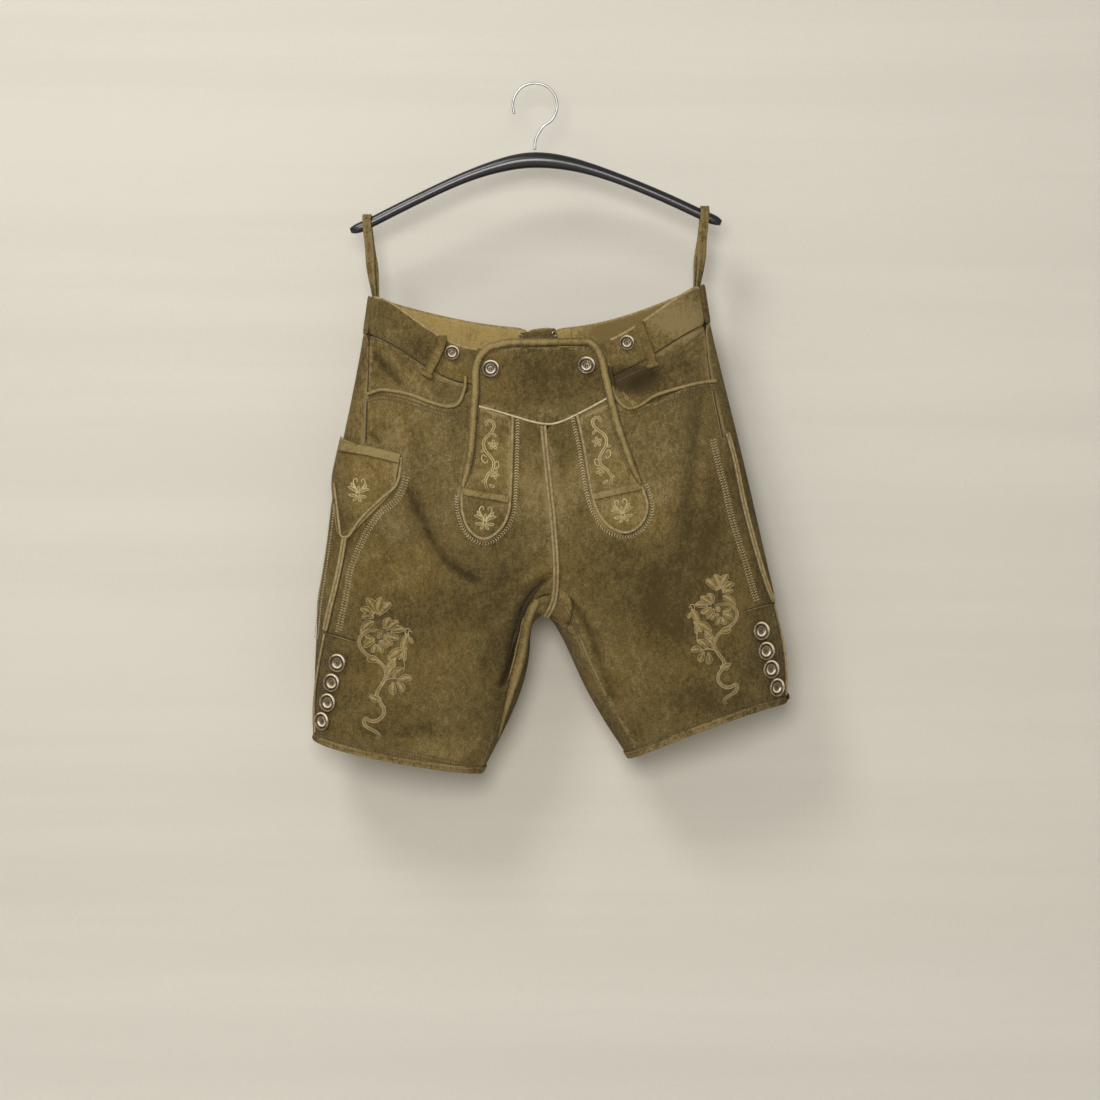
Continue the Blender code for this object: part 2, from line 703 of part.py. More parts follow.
def waistband_front(half):
    def place(down, across):
        level = WAIST + (WAIST_SEAM - WAIST) * down
        row = half.row(level)
        seam = half.side_seam(row)
        return half.skin(level, seam + (90 - seam) * across, WAISTBAND_OUT)

    FRONT.add(sheet(f"waistband_front_{WEARER[half.side]}", 3, 12, place, WAISTBAND_THICK, "leather"))


def waistband_back(half):
    """Its end at the centre back leans away, which leaves the laced notch."""

    def place(down, across):
        level = WAIST + (WAIST_SEAM - WAIST) * down
        row = half.row(level)
        seam = half.side_seam(row)
        wide = NOTCH_TOP + (NOTCH_FOOT - NOTCH_TOP) * down
        end = 360 - half.angle_at(row, NOTCH_X + half.side * wide / 2)
        return half.skin(level, seam + (end - seam) * across, WAISTBAND_OUT)

    BACK.add(sheet(f"waistband_back_{WEARER[half.side]}", 3, 16, place, WAISTBAND_THICK, "leather"))


def pocket_facing(half):
    """The piece behind the pocket mouth, from the waistband down to behind the front, and in behind the flap."""
    mouth = MOUTH[half.side]

    def place(down, across):
        row = half.row(WAIST_SEAM)
        seam = half.side_seam(row)
        inner = half.angle_at(row, SLIT[half.side][1][0] - half.side * 22)
        angle = seam + (inner - seam) * across
        at = half.raw(WAIST_SEAM, angle)
        low = height_on(mouth, at.x) - 16
        level_low = half.level_at(at.x, low)
        level = WAIST_SEAM + (level_low - WAIST_SEAM) * down
        row = half.row(level)
        seam_here = half.side_seam(row)
        angle = seam_here + (half.angle_at(row, at.x) - seam_here) * min(1, across * 4)
        return half.skin(level, angle, FACING_LIFT)

    FRONT.add(sheet(f"pocket_facing_{WEARER[half.side]}", 3, 10, place, 1.3, "leather"))


def flap_yoke():
    """The flap's upper piece, from its top edge to the pointed seam."""

    def place(down, across):
        z = -360
        for _ in range(5):
            left, right = across_on(SLIT[-1], z), across_on(SLIT[1], z)
            point_x = YOKE_SEAM[2][0]
            if across < 0.5:
                x = left + (point_x - left) * across * 2
            else:
                x = point_x + (right - point_x) * (across * 2 - 1)
            top, low = height_on(FLAP_TOP, x), height_on(YOKE_SEAM, x) + 0.2
            z = top + (low - top) * down
        return half_at(x).front_at(x, z, FLAP_LIFT)

    FRONT.add(sheet("flap_yoke", 6, 16, place, LEATHER, "leather"))


def flap_strip(half):
    """An embroidered strip on the flap. It ends in a half round below the slit."""
    side = half.side
    inner_line, slit, square = STRIP_INNER[side], SLIT[side], STRIP_SQUARE[side]
    end_x, end_z = STRIP_END[side]
    top_line = [(x, z - 2.8) for x, z in YOKE_SEAM]

    def place(down, across):
        inner, outer = across_on(inner_line, -420), across_on(slit, -420)
        for _ in range(4):
            x = inner + (outer - inner) * across
            top = height_on(top_line, x)
            straight = 0.72
            if down <= straight:
                z = top + (square - top) * down / straight
                inner, outer = across_on(inner_line, z), across_on(slit, z)
            else:
                turn = math.pi / 2 * (down - straight) / (1 - straight) * 0.94
                z = square + (end_z - square) * math.sin(turn)
                shrink = math.cos(turn)
                wide = across_on(inner_line, square), across_on(slit, square)
                inner = end_x + (wide[0] - end_x) * shrink
                outer = end_x + (wide[1] - end_x) * shrink
        trimmed = outer - side * 2.0
        x = inner + (trimmed - inner) * across
        at, normal = FRONT.at(x, z, 0, 3.0)
        return at + normal * (LAY + 1.9), normal

    return sheet(f"flap_strip_{WEARER[side]}", 13, 5, place, 1.4, "leather", "")


def knife_sheath():
    """The narrow pocket on the wearer's right side. It lies over the side seam."""
    half = HALVES[-1]

    def place(down, across):
        left = smooth(SHEATH_LEFT, 8)
        right = smooth(SHEATH_RIGHT, 8)
        count = len(left) - 1
        i = min(int(down * count), count - 1)
        share = down * count - i
        ends = []
        for x, z in (left[i].lerp(left[i + 1], share), right[i].lerp(right[i + 1], share)):
            level = half.level_at(x, z)
            ends.append(Vector((level, half.angle_at(half.row(level), x))))
        level, angle = ends[0].lerp(ends[1], across)
        return half.skin(level, angle, LAY + 2.6)

    FRONT.add(sheet("knife_sheath", 9, 9, place, 1.5, "leather", ""))


# What is sewn on.


def border_place(point):
    """On the flap, also where the border's outer half stands over its edge."""
    x, z = point
    lift = FLAP_LIFT * (1 - ramp(-z, -YOKE_SEAM[0][1], -SLIT[-1][-1][1]))
    at, normal = half_at(x).front_at(x, z, lift)
    found = FRONT.at(x, z, 0, 3.8)
    if found and found[0].y < at.y:
        at.y = found[0].y
    return at, normal


def flap_trim():
    """The rolled border goes on last, over the strips."""
    for side in (-1, 1):
        name = WEARER[side]
        trim(f"flap_band_{name}", BAND[side], flat_strip(6.5, 1.4), "leather", 6, 3.6, LAY + 0.3)
    path = run_along(smooth(BORDER, 4), border_place, LAY + 0.9)
    sweep("flap_border", path, rounded(8.5, 4.2), "leather")
    ends = ((-64, -386.5), *YOKE_SEAM[1:-1], (87, -382))
    trim("yoke_piping", ends, rounded(3.2, 1.5), "piping", 5, 2.0, LAY + 0.2)


def centre_piping():
    line = ((14.5, -416), (16, -458), (17.5, -500), (21, -568), (22.5, -594), (21, -612))
    trim("centre_front_piping", line, rounded(5.6, 2.2), "piping", 5, 4.0, LAY + 0.2)


def pocket_piping(side):
    line = MOUTH[side]
    start = (line[0][0] - side * 10, line[0][1] + side * 1.5)
    trim(f"pocket_piping_{WEARER[side]}", [start, *line[1:]], rounded(3.8, 2.0), "leather", 5, 3.0, LAY)


def side_piping(half):
    """Runs down the side seam, and below it down the edge of the buttoned placket."""
    first = {-1: 3.9, 1: 2.6}[half.side]
    levels = [first + (HEM - 0.4 - first) * i / 26 for i in range(27)]

    def place(level):
        row = half.row(level)
        drawn = 2.0 * ramp(level, PLACKET[half.side] - 0.3, PLACKET[half.side] + 0.3)
        angle = half.side_seam(row) - math.degrees(drawn / (0.6 * abs(half.centre(row)[1])))
        return half.skin(level, angle, 0.4)

    path = run_along(levels, place, LAY)
    sweep(f"side_piping_{WEARER[half.side]}", path, rounded(4.4, 1.8), "piping")


def belt_loop(name, ground, top, low, toward, width=12.0):
    """A strip that stands away from the waistband between its sewn ends."""
    path = []
    for i, proud in enumerate(LOOP_STAND):
        x, z = Vector(top).lerp(Vector(low), i / (len(LOOP_STAND) - 1))
        at, normal = ground.at(x, z, 0, 5.0, toward)
        path.append((at, normal, proud + LAY))
    down = (path[-1][0] - path[0][0]).normalized()
    frames = []
    for at, normal, proud in path:
        across = down.cross(normal).normalized()
        frames.append((at + normal * proud, across, normal, 1.0))
    sweep(name, frames, flat_strip(width, 2.0), "leather")


def button(name, x, z, radius, high, spread):
    """A dished button on the front: a thick rim, a groove and a raised eye."""
    at, normal = FRONT.at(x, z, BUTTON_OFF, spread)
    across = normal.cross(Vector((0, 0, 1))).normalized()
    section = [(reach * radius, rise * high) for reach, rise in BUTTON_SECTION]
    turned(name, at, (across, across.cross(normal), normal), section, BUTTON_SIDES, "horn")


def fastenings():
    for name, x, z, radius, high, spread in BUTTONS:
        button(name, x, z, radius, high, spread)
    for side, places in LEG_BUTTONS.items():
        for i, (x, z) in enumerate(places, 1):
            button(f"leg_button_{WEARER[side]}_{i}", x, z, 9.6, 4.6, 4.0)
    for name, top, low in FRONT_LOOPS:
        belt_loop(name, FRONT, top, low, 1)
    for name, top, low in BACK_LOOPS:
        belt_loop(name, BACK, top, low, -1)


# The laced notch at the back.


def back_at(x, z, out):
    half = half_at(x)
    level = half.level_at(x, z, False)
    return half.skin(level, 360 - half.angle_at(half.row(level), x), out)


def back_notch():
    def place(down, across):
        return back_at(-8.0 + 29.0 * across, -292.5 - 42.0 * down, WAISTBAND_OUT - WAISTBAND_THICK - 0.5)

    sheet("back_gusset", 4, 4, place, 1.2, "inside", "")
    for name, (x, z) in EYELETS.items():
        at, normal = BACK.at(x, z, 0.35, 3.0, -1)
        up = Vector((1, 0, 0)).cross(normal).normalized()
        across = normal.cross(up)
        turned(f"eyelet_{name}", at, (across, up, normal), EYELET_SECTION, EYELET_SIDES, "metal", True)
    back_lace()


def back_lace():
    """One thong with two free ends. It arches over the notch from one upper eyelet to the other."""
    placed = []
    for x, z, off in LACE_ROUTE:
        at, normal = back_at(x, min(z, -296), WAISTBAND_OUT)
        flat = Vector((0, normal.y, 0)).normalized()
        placed.append(Vector((x, at.y, z)) + flat * off)
    line = smooth(placed, 3)
    curve = bpy.data.curves.new("back_lace", "CURVE")
    curve.dimensions = "3D"
    curve.bevel_depth = LACE / 2 * MM
    curve.bevel_resolution = 2
    curve.use_fill_caps = True
    run = curve.splines.new("POLY")
    run.points.add(len(line) - 1)
    for point, at in zip(run.points, line):
        point.co = (*(at * MM), 1)
    curve.materials.append(material("piping"))
    made = bpy.data.objects.new("back_lace", curve)
    bpy.context.scene.collection.objects.link(made)


# The loops and the hanger.


def hanger():
    """A plain black hanger with sloping arms, notched for the loops, and a steel hook."""
    line = smooth([(x, 0, z) for x, z in ARM], 3)
    path = []
    for i, at in enumerate(line):
        ahead = (line[min(i + 1, len(line) - 1)] - line[max(i - 1, 0)]).normalized()
        out = Vector((0, -1, 0)).cross(ahead).normalized()
        end = min(i, len(line) - 1 - i)
        scale = (0.55, 0.9, 1.0)[min(end, 2)] * (1.0 + 0.55 * math.exp(-((at.x / 60) ** 2)))
        path.append((at, Vector((0, 1, 0)), out, scale))
    profile = [(ARM_DEPTH * a, o) for a, o in ring_profile(ARM_RADIUS, ARM_SIDES)]
    sweep("hanger_body", path, profile, "plastic")

    radius = HOOK_RADIUS + HOOK_WIRE / 2
    centre = Vector((0, 0, -HOOK_RADIUS))
    stem = [Vector((0, 0, STEM_FOOT + 4.0 * i)) for i in range(3)]
    turns = [math.radians(158 - 18 * i) for i in range(16)]
    bend = [centre + Vector((radius * math.sin(turn), 0, radius * math.cos(turn))) for turn in turns]
    route = smooth([*stem, Vector((2.0, 0, STEM_TOP)), *bend], 2)
    path = []
    for i, at in enumerate(route):
        ahead = (route[min(i + 1, len(route) - 1)] - route[max(i - 1, 0)]).normalized()
        across = Vector((0, 1, 0))
        path.append((at, across, across.cross(ahead).normalized(), 1.0))
    sweep("hanger_hook", path, ring_profile(HOOK_WIRE / 2, 8), "steel")


def hanging_loop(side):
    """A tape that is sewn inside the waistband, turns a quarter, goes over the arm and comes back."""
    foot = Vector((LOOP_FOOT[side][0], 0, LOOP_FOOT[side][1]))
    arm = Vector((LOOP_TOP[side][0], 0, LOOP_TOP[side][1]))
    together, steps = 1.1, 9
    sides = []
    for i in range(steps + 1):
        share = i / steps
        apart = together + (TAPE_OVER - together) * ramp(share, 0.1, 1.0)
        turn = math.radians(TAPE_TURN) * (1 - ramp(share, 0.0, 0.75)) * side
        across = Vector((math.cos(turn), math.sin(turn), 0))
        sides.append((foot.lerp(arm, share), across, apart))
    path = []
    for at, across, apart in sides:
        out = Vector((across.y, -across.x, 0))
        path.append((at + out * apart, across, out, 1.0))
    for i in range(1, 8):
        turn = math.pi * i / 8
        out = Vector((0, -math.cos(turn), math.sin(turn)))
        path.append((arm + out * TAPE_OVER, Vector((1, 0, 0)), out, 1.0))
    for at, across, apart in reversed(sides):
        out = Vector((-across.y, across.x, 0))
        path.append((at + out * apart, across, out, 1.0))
    sweep(f"hanging_loop_{WEARER[side]}", path, flat_strip(TAPE_WIDE, TAPE_THICK), "leather")


def main():
    clear_scene()
    for half in HALVES.values():
        front_hem = front_panel(half)
        back_hem = back_panel(half)
        hem_binding(half, front_hem, back_hem)
        waistband_front(half)
        waistband_back(half)
        pocket_facing(half)
    flap_yoke()
    for strip in [flap_strip(half) for half in HALVES.values()]:
        FRONT.add(strip)
    knife_sheath()
    for half in HALVES.values():
        pocket_piping(half.side)
        side_piping(half)
        hanging_loop(half.side)
    centre_piping()
    flap_trim()
    fastenings()
    back_notch()
    hanger()


main()
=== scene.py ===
import json
import math

import bmesh
import bpy
import numpy as np
from mathutils import Matrix, Vector, noise
from mathutils.bvhtree import BVHTree
from mathutils.kdtree import KDTree


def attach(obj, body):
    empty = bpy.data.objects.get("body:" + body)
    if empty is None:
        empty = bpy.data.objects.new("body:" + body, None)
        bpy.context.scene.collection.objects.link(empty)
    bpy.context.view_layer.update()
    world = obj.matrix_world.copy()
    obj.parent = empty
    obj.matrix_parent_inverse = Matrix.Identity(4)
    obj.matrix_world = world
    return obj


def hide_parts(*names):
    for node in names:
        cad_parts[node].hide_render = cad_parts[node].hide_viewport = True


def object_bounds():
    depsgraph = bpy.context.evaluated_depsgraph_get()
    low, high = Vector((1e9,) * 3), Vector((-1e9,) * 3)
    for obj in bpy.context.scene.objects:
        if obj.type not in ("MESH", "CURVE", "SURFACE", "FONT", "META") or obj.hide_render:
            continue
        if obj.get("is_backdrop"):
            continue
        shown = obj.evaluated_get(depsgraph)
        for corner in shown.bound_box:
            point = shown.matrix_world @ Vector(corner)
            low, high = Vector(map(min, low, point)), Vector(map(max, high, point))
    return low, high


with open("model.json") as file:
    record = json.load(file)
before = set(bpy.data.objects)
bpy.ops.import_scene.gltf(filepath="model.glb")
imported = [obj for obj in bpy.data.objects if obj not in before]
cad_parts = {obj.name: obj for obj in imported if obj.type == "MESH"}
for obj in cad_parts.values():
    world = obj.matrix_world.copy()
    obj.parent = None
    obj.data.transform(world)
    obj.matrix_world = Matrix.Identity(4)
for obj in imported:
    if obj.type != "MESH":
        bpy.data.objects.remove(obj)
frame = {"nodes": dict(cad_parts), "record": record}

# Metres. The front faces -Y, +X is the wearer's left, and the origin is the top of the hanger's hook.
nodes = frame["nodes"]
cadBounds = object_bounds()
mm = 0.001
bothSides = ("right", "left")
noneAbove = 1e9


# Small helpers for selecting and modifying.

def deselectAll():
    if bpy.context.mode != "OBJECT":
        bpy.ops.object.mode_set(mode="OBJECT")
    bpy.ops.object.select_all(action="DESELECT")


def pick(piece):
    deselectAll()
    piece.select_set(True)
    bpy.context.view_layer.objects.active = piece


def link(piece):
    bpy.context.scene.collection.objects.link(piece)


# A new object that belongs to the body.
def addPiece(name, data, slot):
    piece = bpy.data.objects.new(name, data)
    link(piece)
    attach(piece, "root")
    return piece


def applyModifier(piece, kind, **settings):
    pick(piece)
    modifier = piece.modifiers.new(kind.title(), kind)
    for key, value in settings.items():
        setattr(modifier, key, value)
    bpy.ops.object.modifier_apply(modifier=modifier.name)


def subdivide(piece, levels):
    applyModifier(piece, "SUBSURF", levels=levels, render_levels=levels)


# Materials. A Signal is a node's output that can be used in a sum.

class Signal:
    def __init__(self, paint, socket):
        self.paint, self.socket = paint, socket

    def maths(self, operation, a, b):
        return self.paint.node("Math", {"operation": operation}, {0: a, 1: b})

    def __add__(self, other):
        return self.maths("ADD", self, other)

    def __radd__(self, other):
        return self.maths("ADD", other, self)

    def __sub__(self, other):
        return self.maths("SUBTRACT", self, other)

    def __rsub__(self, other):
        return self.maths("SUBTRACT", other, self)

    def __mul__(self, other):
        return self.maths("MULTIPLY", self, other)

    def __rmul__(self, other):
        return self.maths("MULTIPLY", other, self)


class Paint:
    def __init__(self, name, **constants):
        self.material = bpy.data.materials.new(name)
        self.material.use_nodes = True
        self.tree = self.material.node_tree
        self.shader = self.tree.nodes["Principled BSDF"]
        for key, value in constants.items():
            self.shader.inputs[key.replace("_", " ").title().replace("Ior", "IOR")].default_value = value

    def node(self, kind, settings=None, inputs=None, output=0):
        made = self.tree.nodes.new("ShaderNode" + kind)
        for key, value in (settings or {}).items():
            if key == "stops":
                while len(made.color_ramp.elements) < len(value):
                    made.color_ramp.elements.new(1.0)
                for element, (place, colour) in zip(made.color_ramp.elements, value):
                    element.position, element.color = place, (*colour, 1)
            else:
                setattr(made, key, value)
        for key, value in (inputs or {}).items():
            if isinstance(value, Signal):
                self.tree.links.new(value.socket, made.inputs[key])
            else:
                made.inputs[key].default_value = value
        return Signal(self, made.outputs[output])

    def at(self):
        return self.node("TexCoord", output=3)

    def stretched(self, x, y, z):
        return self.node("Mapping", inputs={"Vector": self.at(), "Scale": (x, y, z)})

    def noise(self, scale, detail=2.0, roughness=0.5, where=None):
        sockets = {"Vector": where or self.at(), "Scale": scale, "Detail": detail, "Roughness": roughness}
        return self.node("TexNoise", inputs=sockets)

    def attribute(self, name):
        return self.node("Attribute", {"attribute_name": name}, output=2)

    def spread(self, value, low, high, start=0.0, end=1.0):
        sockets = {"Value": value, 1: low, 2: high, 3: start, 4: end}
        return self.node("MapRange", {"interpolation_type": "SMOOTHSTEP"}, sockets)

    def mix(self, share, a, b):
        a, b = (value if isinstance(value, Signal) else (*value, 1) for value in (a, b))
        return self.node("Mix", {"data_type": "RGBA", "blend_type": "MIX"}, {0: share, 6: a, 7: b}, 2)

    def finish(self, colour=None, roughness=None, bump=None, strength=0.5, distance=0.0005):
        for name, value in (("Base Color", colour), ("Roughness", roughness)):
            if value is not None:
                self.tree.links.new(value.socket, self.shader.inputs[name])
        if bump is not None:
            sockets = {"Height": bump, "Strength": strength, "Distance": distance}
            raised = self.node("Bump", inputs=sockets)
            self.tree.links.new(raised.socket, self.shader.inputs["Normal"])
        return self.material


# Tones of the suede. The deep one is painted shade, for the creases and shaded sides that the fold attribute marks.
suedeLook = {
    "deep": (0.012, 0.008, 0.003),
    "shade": (0.058, 0.0405, 0.0145),
    "middle": (0.116, 0.083, 0.030),
    "golden": (0.128, 0.0865, 0.0265),
    "rubbed": (0.215, 0.160, 0.070),
}


# Brushed leather: soft clouds and fine hairs of nap, rubbed paler at its cut edges, with painted light on the ridges
# of the folds, painted shade in their creases, and broad painted patches that mix the nap's own tone with painted
# light and shade. The flesh side, where a piece shows it, is paler still.
def suede(name, lift=1.0, rub=1.0, flesh=0.0):
    paint = Paint(name, roughness=0.95, sheen_weight=0.03, sheen_roughness=0.6, specular_ior_level=0.05)
    tone = {key: tuple(min(part * lift, 1) for part in value) for key, value in suedeLook.items()}
    clouds = paint.noise(9, 3, 0.5)
    hue = paint.noise(7, 3, 0.6, paint.stretched(1.0, 1.0, 1.3))
    tufts = paint.noise(42, 4, 0.6, paint.stretched(1.1, 1.0, 0.9))
    brushed = paint.noise(160, 4, 0.7, paint.stretched(1.2, 1.0, 0.85))
    nap = paint.noise(480, 3, 0.8)
    fold, edge, paintedLightAndNap = paint.attribute("fold"), paint.attribute("edge"), paint.attribute("nap")
    # The level carries painted light and shade too: the broad patches, and the folds, lighter on their ridges and
    # darker in their creases.
    level = 0.22 * clouds + 0.16 * tufts + 0.27 * brushed + 0.35 * nap + 0.10 * paintedLightAndNap + 0.04 * fold
    middle = paint.mix(paint.spread(hue + 0.12 * paintedLightAndNap, 0.42, 0.62), tone["middle"], tone["golden"])
    colour = paint.mix(paint.spread(level, 0.40, 0.51), tone["shade"], middle)
    colour = paint.mix(paint.spread(level + 0.10 * edge * rub, 0.50, 0.62), colour, tone["rubbed"])
    if flesh:
        pale = [tuple(part * flesh for part in tone[key]) for key in ("shade", "middle")]
        colour = paint.mix(paint.attribute("flesh"), colour, paint.mix(paint.spread(level, 0.34, 0.52), *pale))
    # Painted shade: where the fold attribute marks a crease or a shaded side, the colour goes to the deep tone.
    colour = paint.mix(paint.spread(fold, -0.15, -1.3, 0.0, 0.50), colour, tone["deep"])
    height = 0.7 * nap + 0.6 * brushed + 0.5 * tufts
    return paint.finish(colour, bump=height, strength=0.8, distance=0.0020)


def plainPaint(name, colour, dark, scale, roughness, paintedShade=None, **constants):
    paint = Paint(name, roughness=roughness, **constants)
    grain = paint.noise(scale, 4, 0.6)
    tint = paint.mix(paint.spread(grain, 0.35, 0.65), dark, colour)
    # Painted shade where the fold attribute marks a crease or a shaded side.
    if paintedShade:
        tint = paint.mix(paint.spread(paint.attribute("fold"), -0.15, -1.3, 0.0, 0.9), tint, paintedShade)
    return paint.finish(tint, bump=grain, strength=0.2, distance=0.0004)


# Silk laid in fine threads across each shape.
def satin(name, lift=1.0):
    paint = Paint(name, roughness=0.55, sheen_weight=0.2, specular_ior_level=0.35)
    along = paint.node("UVMap", {"uv_map": "along"})
    threads = paint.node("TexWave", {"bands_direction": "X"}, {"Vector": along, "Scale": 420.0, "Distortion": 0.6}, 1)
    grain = paint.noise(70, 3, 0.6)
    pair = [tuple(part * lift for part in shade) for shade in ((0.270, 0.215, 0.105), (0.400, 0.330, 0.175))]
    colour = paint.mix(paint.spread(grain, 0.35, 0.65), *pair)
    return paint.finish(colour, bump=threads, strength=0.5, distance=0.0003)


# Polished horn: brown, with painted highlights in cream where its rims shine, and painted shade down in the groove.
def horn(name):
    paint = Paint(name, specular_ior_level=0.6, coat_weight=0.5, coat_roughness=0.12)
    rise, reach, gleam = paint.attribute("rise"), paint.attribute("reach"), paint.attribute("gleam")
    speck = paint.noise(190, 4, 0.65)
    brown = paint.mix(paint.spread(speck, 0.35, 0.65), (0.100, 0.066, 0.031), (0.230, 0.165, 0.088))
    colour = paint.mix(paint.spread(gleam + 0.5 * speck, 0.50, 1.20), brown, (0.72, 0.62, 0.45))
    # Painted shade down in the groove.
    colour = paint.mix(paint.spread(rise, 0.62, 0.36), colour, (0.045, 0.029, 0.013))
    colour = paint.mix(paint.spread(reach, 0.38, 0.28), colour, (0.150, 0.112, 0.052))
    return paint.finish(colour, paint.spread(rise, 0.3, 0.8, 0.6, 0.24), speck, 0.15, 0.0003)


paints = {
    "suede": suede("olive suede"),
    # The bound edges are a paler copy of the suede: painted light, as the rolls catch it, and rubbed at their edges.
    "lit and rubbed suede edge": suede("olive suede, bound edges", 1.20, 1.6),
    "pale suede": suede("olive suede, rubbed", 1.12, 1.4),
    "flesh side": suede("suede with its flesh side out", 1.0, 1.0, 3.4),
    "piping": plainPaint(
        "pale piping", (0.300, 0.222, 0.096), (0.190, 0.136, 0.054), 260, 0.8, paintedShade=(0.030, 0.020, 0.008),
    ),
    "cream piping": plainPaint(
        "cream piping", (0.52, 0.43, 0.25), (0.36, 0.28, 0.15), 500, 0.6, paintedShade=(0.060, 0.042, 0.018),
    ),
    # Painted shade: the dark of seam bottoms, stitch channels, closed seams and creases.
    "seam shade": plainPaint("seam, painted shade", (0.052, 0.037, 0.015), (0.034, 0.023, 0.009), 300, 0.95),
    "thread": plainPaint("olive thread", (0.185, 0.140, 0.062), (0.110, 0.080, 0.034), 900, 0.6),
    "seam thread": plainPaint("seam thread", (0.38, 0.31, 0.17), (0.26, 0.205, 0.10), 300, 0.6),
    "bright thread": plainPaint("pale thread", (0.52, 0.44, 0.27), (0.36, 0.29, 0.16), 300, 0.6),
    "embroidery": satin("embroidery silk"),
    "bright embroidery": satin("embroidery silk, pale", 1.4),
    # The padding is a paler copy of the suede, painted lighter where the raised leaves catch the light.
    "padding": suede("padded suede", 1.4, 0.5),
    "button thread": plainPaint("button thread", (0.050, 0.036, 0.014), (0.030, 0.021, 0.008), 900, 0.8),
    "horn": horn("stag horn"),
    "metal": plainPaint("dull nickel", (0.50, 0.48, 0.44), (0.30, 0.28, 0.25), 300, 0.35, metallic=1.0),
    "steel": plainPaint("bright wire", (0.46, 0.46, 0.46), (0.36, 0.36, 0.36), 300, 0.38, metallic=1.0),
    "plastic": plainPaint("black plastic", (0.012, 0.012, 0.014), (0.008, 0.008, 0.009), 300, 0.28),
}
print("materials ready")


# The drape: how far the hanging leather stands out (+) or sinks (-) in front of the plain form.
# Each fold is a line of (x, z) with its half width and its height, in millimetres.
frontFolds = (
    # The right hip: the crease under the waistband, and the long fold from the pocket to the thigh.
    (4.5, -6.5, ((-197, -318), (-177, -340.5), (-156, -365))),
    (8, 3.2, ((-188, -312), (-165, -333), (-145, -356), (-128, -371))),
    (8, -2.8, ((-138, -341), (-110, -364), (-93, -379))),
    (8, 3.5, ((-190, -399), (-169, -407), (-157, -426), (-150, -457))),
    (8, -3.2, ((-155, -384), (-147, -415), (-139, -446), (-138, -480))),
    (4, -3.6, ((-199, -414), (-182, -434))),
    (5.5, -5.5, ((-153, -476), (-141, -507), (-119.5, -548), (-106, -569), (-90, -581), (-63, -596))),
    (12, 3.2, ((-133, -480), (-117, -511), (-98, -542), (-71, -569))),
    # Between the strips.
    (7, -3.2, ((37, -414), (37, -449), (37, -490))),
    (4, -2.0, ((-15, -407), (-1, -418))),
    (4, -1.4, ((0.5, -457), (12, -468))),
    # The left hip: the hollow at the pocket, and the fall of the side.
    (8, -8.0, ((104, -368), (127, -358), (154, -342))),
    (7, 2.5, ((154, -335), (178, -310), (200, -297))),
    (8, -4.0, ((203, -364), (193, -430), (187, -480), (183, -534), (173, -581))),
    (16, 3.6, ((179, -376), (173, -434), (161, -500), (134, -554))),
    (7, -2.8, ((86, -548), (112, -559), (134, -560), (161, -544))),
    # Round the fork.
    (4.2, -7.5, (
        (18, -586), (12, -591), (-2, -606), (-14.5, -625), (-21.5, -650), (-26, -680), (-33, -705), (-42, -726),
    )),
    (9, 3.2, ((6, -583), (-19, -608), (-35, -647), (-45, -686))),
    (7, -2.5, ((14, -567), (-24, -586), (-63, -606))),
    (7, 2.2, ((16, -579), (-21, -598), (-56, -614))),
    (5, -4.0, ((39, -611), (51, -629), (67, -659), (79, -698), (96, -741))),
    # The legs.
    (8, -2.4, ((-41, -682), (-64, -705), (-87, -716))),
    (12, 2.4, ((-117, -614), (-106, -641), (-102, -673))),
    (12, -2.2, ((-117, -567), (-114, -598), (-121, -629))),
    (14, -3.0, ((165, -552), (151, -590), (146, -641))),
    (16, 2.2, ((118, -567), (115, -614), (119, -661))),
    (9, -1.5, ((189, -739), (228, -747))),
)
backFolds = (
    (12, -3.0, ((-20, -600), (-90, -570), (-150, -560))),
    (13, 3.0, ((-30, -575), (-95, -545), (-160, -530))),
    (12, -3.0, ((45, -600), (115, -572), (180, -562))),
    (13, 3.0, ((50, -575), (120, -545), (185, -530))),
    (9, -2.6, ((-60, -345), (-75, -400), (-80, -450))),
    (9, -2.6, ((80, -345), (100, -400), (105, -450))),
    (12, -2.4, ((-150, -620), (-140, -690), (-150, -750))),
    (12, -2.4, ((180, -600), (190, -660), (200, -710))),
)
# Broad patches painted darker (-) or paler (+): partly the nap's own tone, partly painted shade in the hollows under
# the waistband, pockets and belt loops, and painted light on raised parts such as the hip: x, z, half width, half
# height, amount.
napLightAndShadePatches = (
    (-140, -318, 30, 22, -0.8), (-185, -290, 25, 25, -0.2), (10, -350, 75, 34, -0.4), (15, -391, 24, 8, 0.5),
    (-52, -450, 26, 55, 0.35), (85, -440, 30, 50, 0.1), (105, -512, 28, 22, 0.15), (-56, -515, 26, 22, 0.15),
    (135, -470, 58, 80, 0.75), (210, -540, 24, 90, -0.6), (-180, -425, 26, 22, 0.1), (-210, -490, 34, 40, 0.35),
    (-70, -590, 60, 35, -0.5), (-45, -700, 26, 70, -0.4), (-110, -796, 60, 18, 0.5), (-150, -772, 55, 9, -0.5),
    (-110, -660, 60, 50, 0.25), (190, -735, 60, 22, -0.4), (150, -640, 55, 70, -0.15), (-100, -470, 30, 60, 0.3),
    (120, -353, 40, 14, -2.1), (55, -700, 20, 60, 0.2), (14, -480, 34, 60, 0.7), (-30, -560, 50, 25, 0.15),
    (180, -282, 50, 26, 1.4), (230, -650, 40, 30, 0.15), (-120, -640, 60, 50, -0.6), (150, -620, 60, 60, -0.7),
    (90, -540, 60, 40, -0.3), (180, -530, 34, 46, -0.55), (170, -372, 40, 16, -0.35), (15, -388, 60, 12, 0.25),
    (178, -336, 24, 13, -0.8),
)
swell = {"broad": (13, 1.5), "small": (38, 0.45)}


